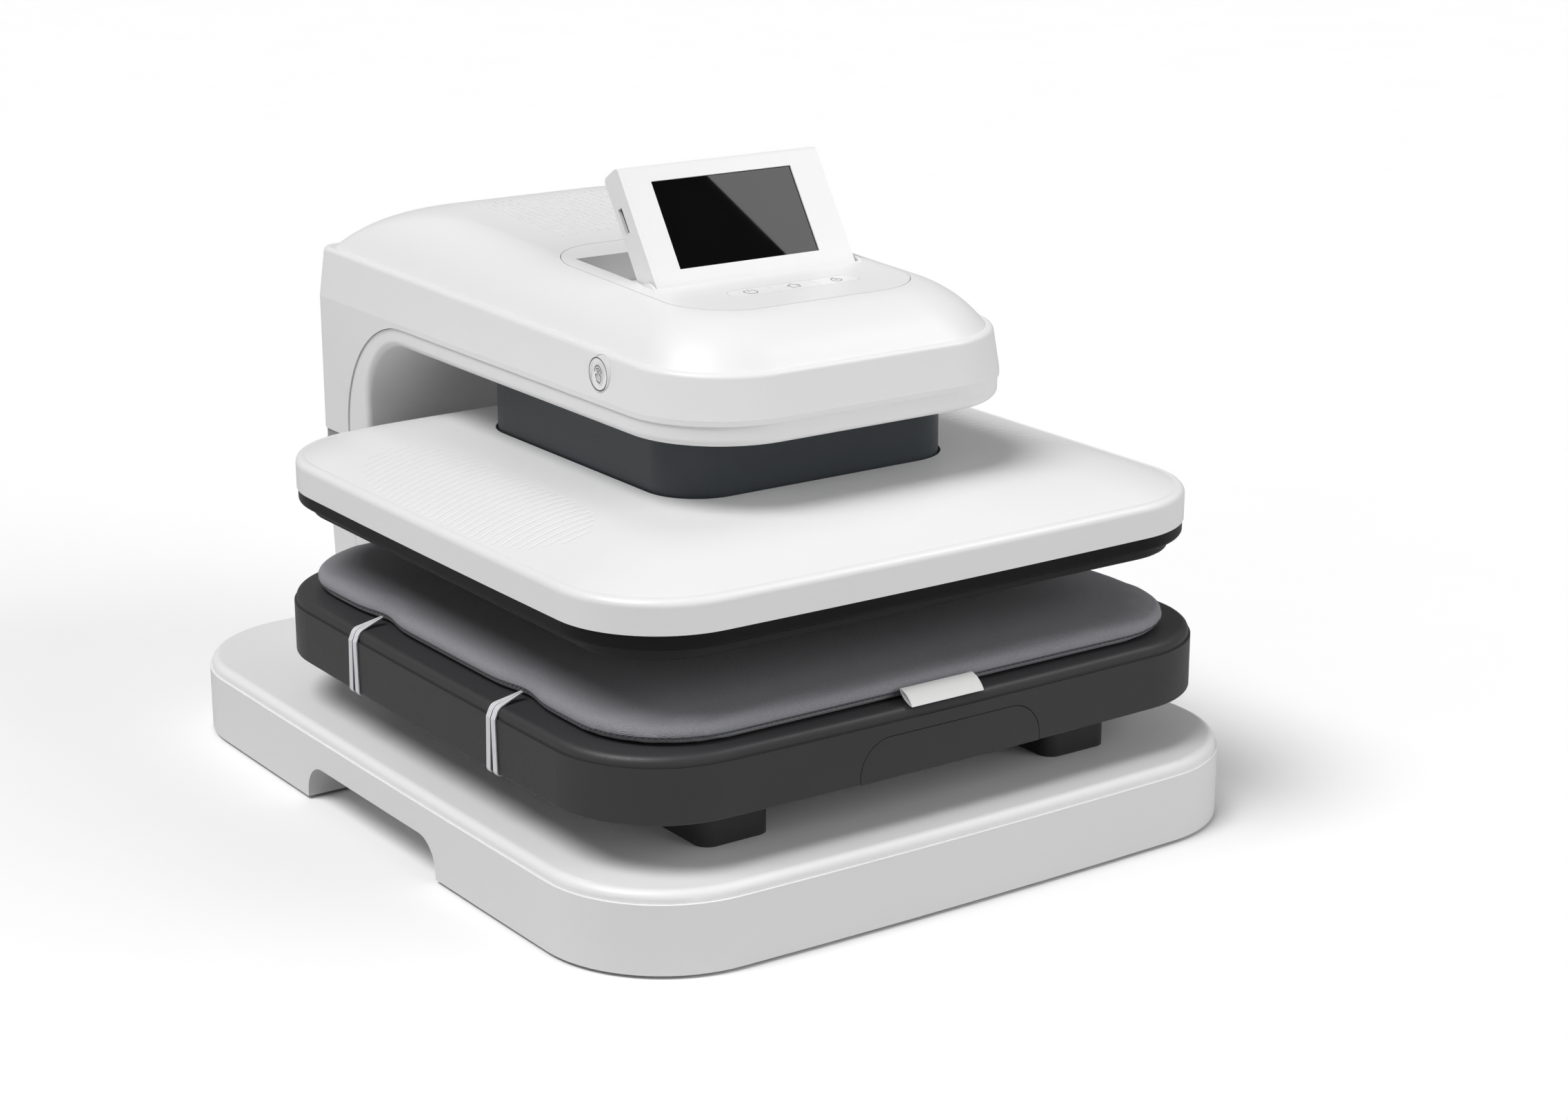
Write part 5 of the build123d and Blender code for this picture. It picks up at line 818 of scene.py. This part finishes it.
def hull_path(points):
    """The outer side of (out, height) points, as elastic pulled over them would lie."""
    path = []
    for point in points:
        while len(path) > 1:
            (ax, az), (bx, bz) = path[-2], path[-1]
            if (bx - ax) * (point[1] - az) - (bz - az) * (point[0] - ax) < 0.0:
                break
            path.pop()
        path.append(point)
    return path


def bed_profile(side, place, start, settings):
    """Where a band lies over the bed's edge at one place along it, from the pad to the foot."""
    shell = nodes["bed_shell"]
    above, beside = 0.2, 0.3
    least_rise, top_skip, foot_skip, band_gap = 0.02, 0.004, 0.0005, 0.00025
    points = [start]
    steps = 40
    for step in range(steps + 1):
        out = start[0] + (abs(bed_high.x) - start[0]) * step / steps
        found, spot, _, _ = shell.ray_cast(Vector((side * out, place, above)), Vector((0.0, 0.0, -1.0)))
        if found and spot.z > bed_low.z + least_rise:
            points.append((out, spot.z))
    wall = bed_high.z - bed_low.z - top_skip - foot_skip
    for step in range(steps + 1):
        height = bed_high.z - top_skip - wall * step / steps
        source = Vector((side * beside, place, height))
        found, spot, _, _ = shell.ray_cast(source, Vector((-side, 0.0, 0.0)))
        if found:
            points.append((abs(spot.x), height))
    path = hull_path(points)
    lift = 0.5 * settings.thickness + band_gap
    lifted = []
    for index, (out, height) in enumerate(path):
        before = Vector(path[max(0, index - 1)])
        after = Vector(path[min(len(path) - 1, index + 1)])
        along = (after - before).normalized()
        lifted.append((out - lift * along.y, height + lift * along.x))
    foot_turn = ((0.0006, 0.0010), (0.0035, 0.0014))
    last_out, last_height = lifted[-1]
    for inward, down in foot_turn:
        lifted.append((last_out - inward, last_height - down))
    return lifted


def elastic_band(name, side, place, away, settings):
    """One flat band from the pad's edge to the bed's foot, away being its drift along the bed."""
    tuck_in, tuck_up, shoulder = 0.0042, 0.0030, 0.018
    gathered_shift, fanned_overlap, gathered_share = 0.0004, 0.0002, 0.35
    start = (pad_high.x - tuck_in, pad_low.z + settings.thickness + tuck_up)
    path = bed_profile(side, place, start, settings)
    run = [0.0]
    for (ax, az), (bx, bz) in zip(path, path[1:]):
        run.append(run[-1] + math.hypot(bx - ax, bz - az))
    stations = []
    for (out, height), gone in zip(path, run):
        fan = smooth_step(gone / shoulder)
        open_out = max(0.0, (gone - shoulder) / (run[-1] - shoulder))
        shift = away * (gathered_shift + (0.5 * settings.width - fanned_overlap) * fan)
        shift += away * (0.5 * settings.spread - 0.5 * settings.width) * open_out
        half = 0.5 * settings.width * (gathered_share + (1.0 - gathered_share) * fan)
        stations.append((out, height, shift, half, gone))
    object_mode()
    bpy.ops.mesh.primitive_plane_add(size=1.0)
    band = bpy.context.object
    band.name = name
    first, second = stations[0], stations[1]
    for vertex in band.data.vertices:
        out, height, shift, half, _ = second if vertex.co.x > 0.0 else first
        across = 1.0 if vertex.co.y > 0.0 else -1.0
        vertex.co = (side * out, place + shift + across * half, height)
    for before, after in zip(stations[1:], stations[2:]):
        here = (side * before[0], before[1])
        step = Vector((side * (after[0] - before[0]), after[2] - before[2], after[1] - before[1]))
        grow(band, lambda v: math.hypot(v.co.x - here[0], v.co.z - here[1]) < touching, step)
        there = Vector((side * after[0], place + after[2], after[1]))
        bpy.ops.transform.resize(value=(1.0, after[3] / before[3], 1.0), center_override=there)
    bpy.ops.object.mode_set(mode="OBJECT")
    return band, stations


def tape_map(band, side, place, stations):
    """A UV map that follows the tape: u across it, v along it in metres."""
    layer = band.data.uv_layers.active or band.data.uv_layers.new()
    layer.name = "tape"
    for loop in band.data.loops:
        point = band.data.vertices[loop.vertex_index].co
        _, _, shift, half, gone = min(
            stations, key=lambda s: (abs(point.x) - s[0]) ** 2 + (point.z - s[1]) ** 2)
        layer.data[loop.index].uv = (0.5 + 0.5 * (point.y - place - shift) / half, gone)


class HEATPRESS_OT_bands(bpy.types.Operator):
    """Makes the four pairs of elastic bands that hold the pad on the bed"""
    bl_idname = "heatpress.bands"
    bl_label = "Make the elastic bands"

    def execute(self, context):
        settings = context.scene.heatpress_bands
        made = []
        for side in (-1.0, 1.0):
            for place in (settings.rear_place, settings.front_place):
                for away in (-1.0, 1.0):
                    band, stations = elastic_band("band", side, place, away, settings)
                    tape_map(band, side, place, stations)
                    made.append(band)
        bands = join("elastic_bands", made)
        face_out(bands)
        wall = bands.modifiers.new("Wall", "SOLIDIFY")
        wall.thickness = settings.thickness
        wall.offset = 0.0
        apply_modifier(bands, wall)
        settle(bands)
        paint(bands, ribbed_elastic("Elastic tape", settings.colour))
        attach(bands, "bed")
        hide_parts("pad_straps")
        return {"FINISHED"}


# The tag

def tag_loop(settings):
    """The (y, z) points of the tag's tape, from the pad over the fold and back."""
    top_gap, front_gap, foot_gap = 0.0010, 0.0004, 0.0006
    belly_place, belly_round, steps = 0.9, 0.8, 10
    root = Vector((tag_high.y, tag_high.z - top_gap))
    tip = Vector((tag_low.y + front_gap, tag_low.z + foot_gap))
    along = tip - root
    length = along.length
    along.normalize()
    out = Vector((along.y, -along.x))
    half = 0.5 * (settings.fullness - settings.cloth)
    upper = []
    for step in range(steps + 1):
        part = step / steps
        belly = 0.0
        if 0 < step < steps:
            belly = math.sin(math.pi * part ** belly_place) ** belly_round
        upper.append((root + along * (length * part), out * (half * belly)))
    points = [middle + lift for middle, lift in upper]
    points += [middle - lift for middle, lift in reversed(upper[:-1])]
    return points


class HEATPRESS_OT_tag(bpy.types.Operator):
    """Makes the blank folded tag sewn into the pad's front edge"""
    bl_idname = "heatpress.tag"
    bl_label = "Make the tag"

    def execute(self, context):
        settings = context.scene.heatpress_tag
        points = tag_loop(settings)
        object_mode()
        bpy.ops.mesh.primitive_plane_add(size=1.0)
        tag = bpy.context.object
        tag.name = "folded_tag"
        for vertex in tag.data.vertices:
            y, z = points[1] if vertex.co.y > 0.0 else points[0]
            vertex.co = (tag_low.x if vertex.co.x < 0.0 else tag_high.x, y, z)
        for (ay, az), (by, bz) in zip(points[1:], points[2:]):
            count = len(tag.data.vertices)
            newest = count - 2 if count > 4 else 0
            grow(tag,
                 lambda v: v.index >= newest and math.hypot(v.co.y - ay, v.co.z - az) < touching,
                 (0.0, by - ay, bz - az))
        face_out(tag)
        tape = tag.modifiers.new("Tape", "SOLIDIFY")
        tape.thickness = settings.cloth
        tape.offset = 0.0
        apply_modifier(tag, tape)
        choose(tag)
        bpy.ops.object.shade_smooth_by_angle(angle=math.radians(50.0))
        paint(tag, woven_tape("Woven tape", settings.colour))
        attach(tag, "bed")
        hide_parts("pad_tag")
        return {"FINISHED"}


# Printed marks

# How far the middle of a printed line stands off its key
ink_gap = 0.00003


def arc_points(centre, radius, start, end, steps=24):
    """Points on an arc, its angles in degrees from the right, turning to the left."""
    points = []
    for step in range(steps + 1):
        angle = math.radians(start + (end - start) * step / steps)
        points.append((centre[0] + radius * math.cos(angle), centre[1] + radius * math.sin(angle)))
    return points


def draw_stroke(points):
    """One stroke as a line of edges on the floor of its own drawing."""
    object_mode()
    bpy.ops.mesh.primitive_plane_add(size=0.001, location=(points[0][0], points[0][1], 0.0))
    stroke = bpy.context.object
    settle(stroke)
    edit(stroke)
    bpy.ops.mesh.merge(type="CENTER")
    for (ax, ay), (bx, by) in zip(points, points[1:]):
        bpy.ops.mesh.extrude_region_move(TRANSFORM_OT_translate={"value": (bx - ax, by - ay, 0.0)})
    bpy.ops.object.mode_set(mode="OBJECT")
    return stroke


def drawing(name, strokes, width):
    """A mark of flat raised lines, drawn on the XY plane round the origin."""
    lines = []
    for points in strokes:
        stroke = draw_stroke(points)
        choose(stroke)
        bpy.ops.object.convert(target="CURVE")
        line = bpy.context.object
        line.data.dimensions = "3D"
        line.data.bevel_depth = 0.5 * width
        line.data.bevel_resolution = 1
        line.data.use_fill_caps = True
        choose(line)
        bpy.ops.object.convert(target="MESH")
        lines.append(bpy.context.object)
    mark = join(name, lines)
    flatness = 0.25
    stretch(mark, (1.0, 1.0, flatness), (0.0, 0.0, 0.0))
    return mark


def power_mark(size):
    return [arc_points((0.0, 0.0), size, 118.0, 422.0), [(0.0, 0.15 * size), (0.0, 1.15 * size)]]


def home_mark(size):
    wall = 0.72 * size
    return [[(-1.1 * size, 0.0), (0.0, 1.0 * size), (1.1 * size, 0.0)],
            [(-wall, 0.25 * size), (-wall, -0.85 * size), (wall, -0.85 * size), (wall, 0.25 * size)]]


def timer_mark(size):
    return [arc_points((0.0, -0.15 * size), 0.78 * size, 0.0, 360.0),
            [(0.0, 0.3 * size), (0.0, -0.15 * size), (0.35 * size, -0.15 * size)],
            [(-0.3 * size, 1.0 * size), (0.3 * size, 1.0 * size)]]


def touch_mark(size):
    """A pointing hand under two arcs, in the ring of its button; size is a third of the hand's width."""
    tip = 1.45 * size
    hand = [(-2.7, -0.5), (-2.1, -0.4), (-0.95, -1.7), (-0.75, 1.5), (0.0, 2.35), (0.75, 1.5),
            (0.85, 0.4), (2.9, -0.9), (3.1, -2.2), (1.9, -5.1), (-1.3, -4.6), (-2.9, -1.2), (-2.7, -0.5)]
    return [[(x * 0.91 * size, y * 0.91 * size) for x, y in hand],
            arc_points((0.0, tip), 3.2 * size, -12.0, 192.0),
            arc_points((0.0, tip), 1.8 * size, 8.0, 172.0),
            arc_points((0.0, 0.0), 9.0 * size, 0.0, 360.0, 48)]


def key_mark(key, name, strokes, body, width):
    """Lays a drawing on a key's top, tilted as the key is."""
    mark = drawing(name, strokes, width)
    low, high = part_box(key)
    above = Vector((0.5 * (low.x + high.x), 0.5 * (low.y + high.y), high.z + 0.05))
    found, spot, normal, _ = nodes[key].ray_cast(above, Vector((0.0, 0.0, -1.0)))
    if not found:
        raise RuntimeError(key + " has no top under its mark")
    tilt = normal.to_track_quat("Z", "Y").to_matrix().to_4x4()
    mark.matrix_world = Matrix.Translation(spot + normal * ink_gap) @ tilt
    settle(mark)
    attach(mark, body)
    return mark


class HEATPRESS_OT_marks(bpy.types.Operator):
    """Draws the line marks on the three keys and on the start button"""
    bl_idname = "heatpress.marks"
    bl_label = "Draw the key marks"

    def execute(self, context):
        settings = context.scene.heatpress_marks
        size = settings.key_size
        ink = moulded("Grey ink", settings.colour, 0.6, size=0.0005, change=0.05)
        drawings = [("power_key", "power_mark", power_mark(size)),
                    ("home_key", "home_mark", home_mark(size)),
                    ("menu_key", "timer_mark", timer_mark(size))]
        marks = [key_mark(key, name, strokes, key + "_body", settings.line)
                 for key, name, strokes in drawings]
        touch = drawing("touch_mark", touch_mark(0.001), settings.line * 1.3)
        middle = 0.5 * (button_low + button_high)
        touch.matrix_world = Matrix((
            (0.0, 0.0, -1.0, button_low.x - ink_gap), (-1.0, 0.0, 0.0, middle.y),
            (0.0, 1.0, 0.0, middle.z), (0.0, 0.0, 0.0, 1.0)))
        settle(touch)
        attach(touch, "start_button_body")
        for mark in marks + [touch]:
            paint(mark, ink)
        return {"FINISHED"}


# Studio

def soft_sun(name, strength, spread, source, gloss=True):
    object_mode()
    bpy.ops.object.light_add(type="SUN")
    light = bpy.context.object
    light.name = name
    light.data.energy = strength
    light.data.angle = spread
    light.rotation_euler = Vector(source).to_track_quat("Z", "Y").to_euler()
    light.visible_glossy = gloss
    return light


def gloss_card(name, place, turn, size, power):
    """A card that is seen only in shiny things."""
    object_mode()
    bpy.ops.object.light_add(type="AREA", location=place, rotation=turn)
    light = bpy.context.object
    light.name = name
    light.data.shape = "RECTANGLE"
    light.data.size, light.data.size_y = size
    light.data.energy = power
    light.visible_diffuse = False
    return light


def paper_floor(settings):
    """Paper that looks pale, and gives back less light than it shows."""
    material, w, shader = new_material("Paper floor", Specular_IOR_Level=0.1)
    made = use_group(w, "grain", size=0.002)
    seen = w.mix(made["Patch"], shade(settings.floor_shade, 0.996), shade(settings.floor_shade, 1.004))
    from_camera = w.add("ShaderNodeLightPath").outputs["Is Camera Ray"]
    dim = tuple(settings.floor_bounce for _ in range(3)) + (1.0,)
    w.link(w.mix(from_camera, dim, seen), shader.inputs["Base Color"])
    w.link(w.evened(made["Grain"], 0.85, 0.95), shader.inputs["Roughness"])
    return material


class HEATPRESS_OT_studio(bpy.types.Operator):
    """Sets the floor, the even sky, the soft lights and the camera"""
    bl_idname = "heatpress.studio"
    bl_label = "Set the studio"

    def execute(self, context):
        settings = context.scene.heatpress_studio
        object_mode()
        bpy.ops.mesh.primitive_plane_add(size=40.0, location=(0.0, 0.0, 0.0))
        floor = context.object
        floor.name = "floor"
        paint(floor, paper_floor(settings))
        world = bpy.data.worlds.new("Studio sky")
        world.use_nodes = True
        sky = world.node_tree.nodes["Background"]
        sky.inputs["Color"].default_value = (1.0, 1.0, 1.0, 1.0)
        sky.inputs["Strength"].default_value = settings.sky
        context.scene.world = world
        soft_sun("key_light", settings.key_strength, settings.key_spread, settings.key_from)
        soft_sun("side_light", settings.side_strength, settings.fill_spread, settings.side_from,
                 gloss=False)
        soft_sun("fill_light", settings.fill_strength, settings.fill_spread, settings.fill_from,
                 gloss=False)
        gloss_card("screen_card", settings.card_place, settings.card_turn, settings.card_size,
                   settings.card_power)
        bpy.ops.object.camera_add(location=settings.camera_place)
        camera = context.object
        camera.name = "photo_camera"
        camera.rotation_euler = (0.5 * math.pi - settings.camera_pitch, 0.0, -settings.camera_turn)
        camera.data.sensor_width = 36.0
        camera.data.lens = settings.camera_lens
        camera.data.clip_end = 60.0
        context.scene.camera = camera
        context.scene.view_settings.view_transform = "Standard"
        return {"FINISHED"}


class HEATPRESS_PT_sidebar(bpy.types.Panel):
    """Lists the steps that dress the heat press"""
    bl_idname = "HEATPRESS_PT_sidebar"
    bl_label = "Heat press"
    bl_space_type = "VIEW_3D"
    bl_region_type = "UI"
    bl_category = "Heat press"

    def draw(self, context):
        for step in steps:
            self.layout.operator(step.bl_idname)
        for name, _ in settings_groups:
            group = getattr(context.scene, name)
            box = self.layout.box()
            for prop in group.bl_rna.properties:
                if prop.identifier not in ("rna_type", "name"):
                    box.prop(group, prop.identifier)


settings_groups = [
    ("heatpress_pad", PadSettings),
    ("heatpress_bands", BandSettings),
    ("heatpress_tag", TagSettings),
    ("heatpress_marks", MarkSettings),
    ("heatpress_studio", StudioSettings),
]
steps = [HEATPRESS_OT_finishes, HEATPRESS_OT_pad, HEATPRESS_OT_bands, HEATPRESS_OT_tag,
         HEATPRESS_OT_marks, HEATPRESS_OT_studio]


def register():
    for name, group in settings_groups:
        bpy.utils.register_class(group)
        setattr(bpy.types.Scene, name, PointerProperty(type=group))
    for step in steps:
        bpy.utils.register_class(step)
    bpy.utils.register_class(HEATPRESS_PT_sidebar)


def unregister():
    bpy.utils.unregister_class(HEATPRESS_PT_sidebar)
    for step in reversed(steps):
        bpy.utils.unregister_class(step)
    for name, group in reversed(settings_groups):
        delattr(bpy.types.Scene, name)
        bpy.utils.unregister_class(group)


def main():
    register()
    bpy.ops.heatpress.finishes()
    bpy.ops.heatpress.pad()
    bpy.ops.heatpress.bands()
    bpy.ops.heatpress.tag()
    bpy.ops.heatpress.marks()
    bpy.ops.heatpress.studio()


if __name__ == "__main__":
    main()
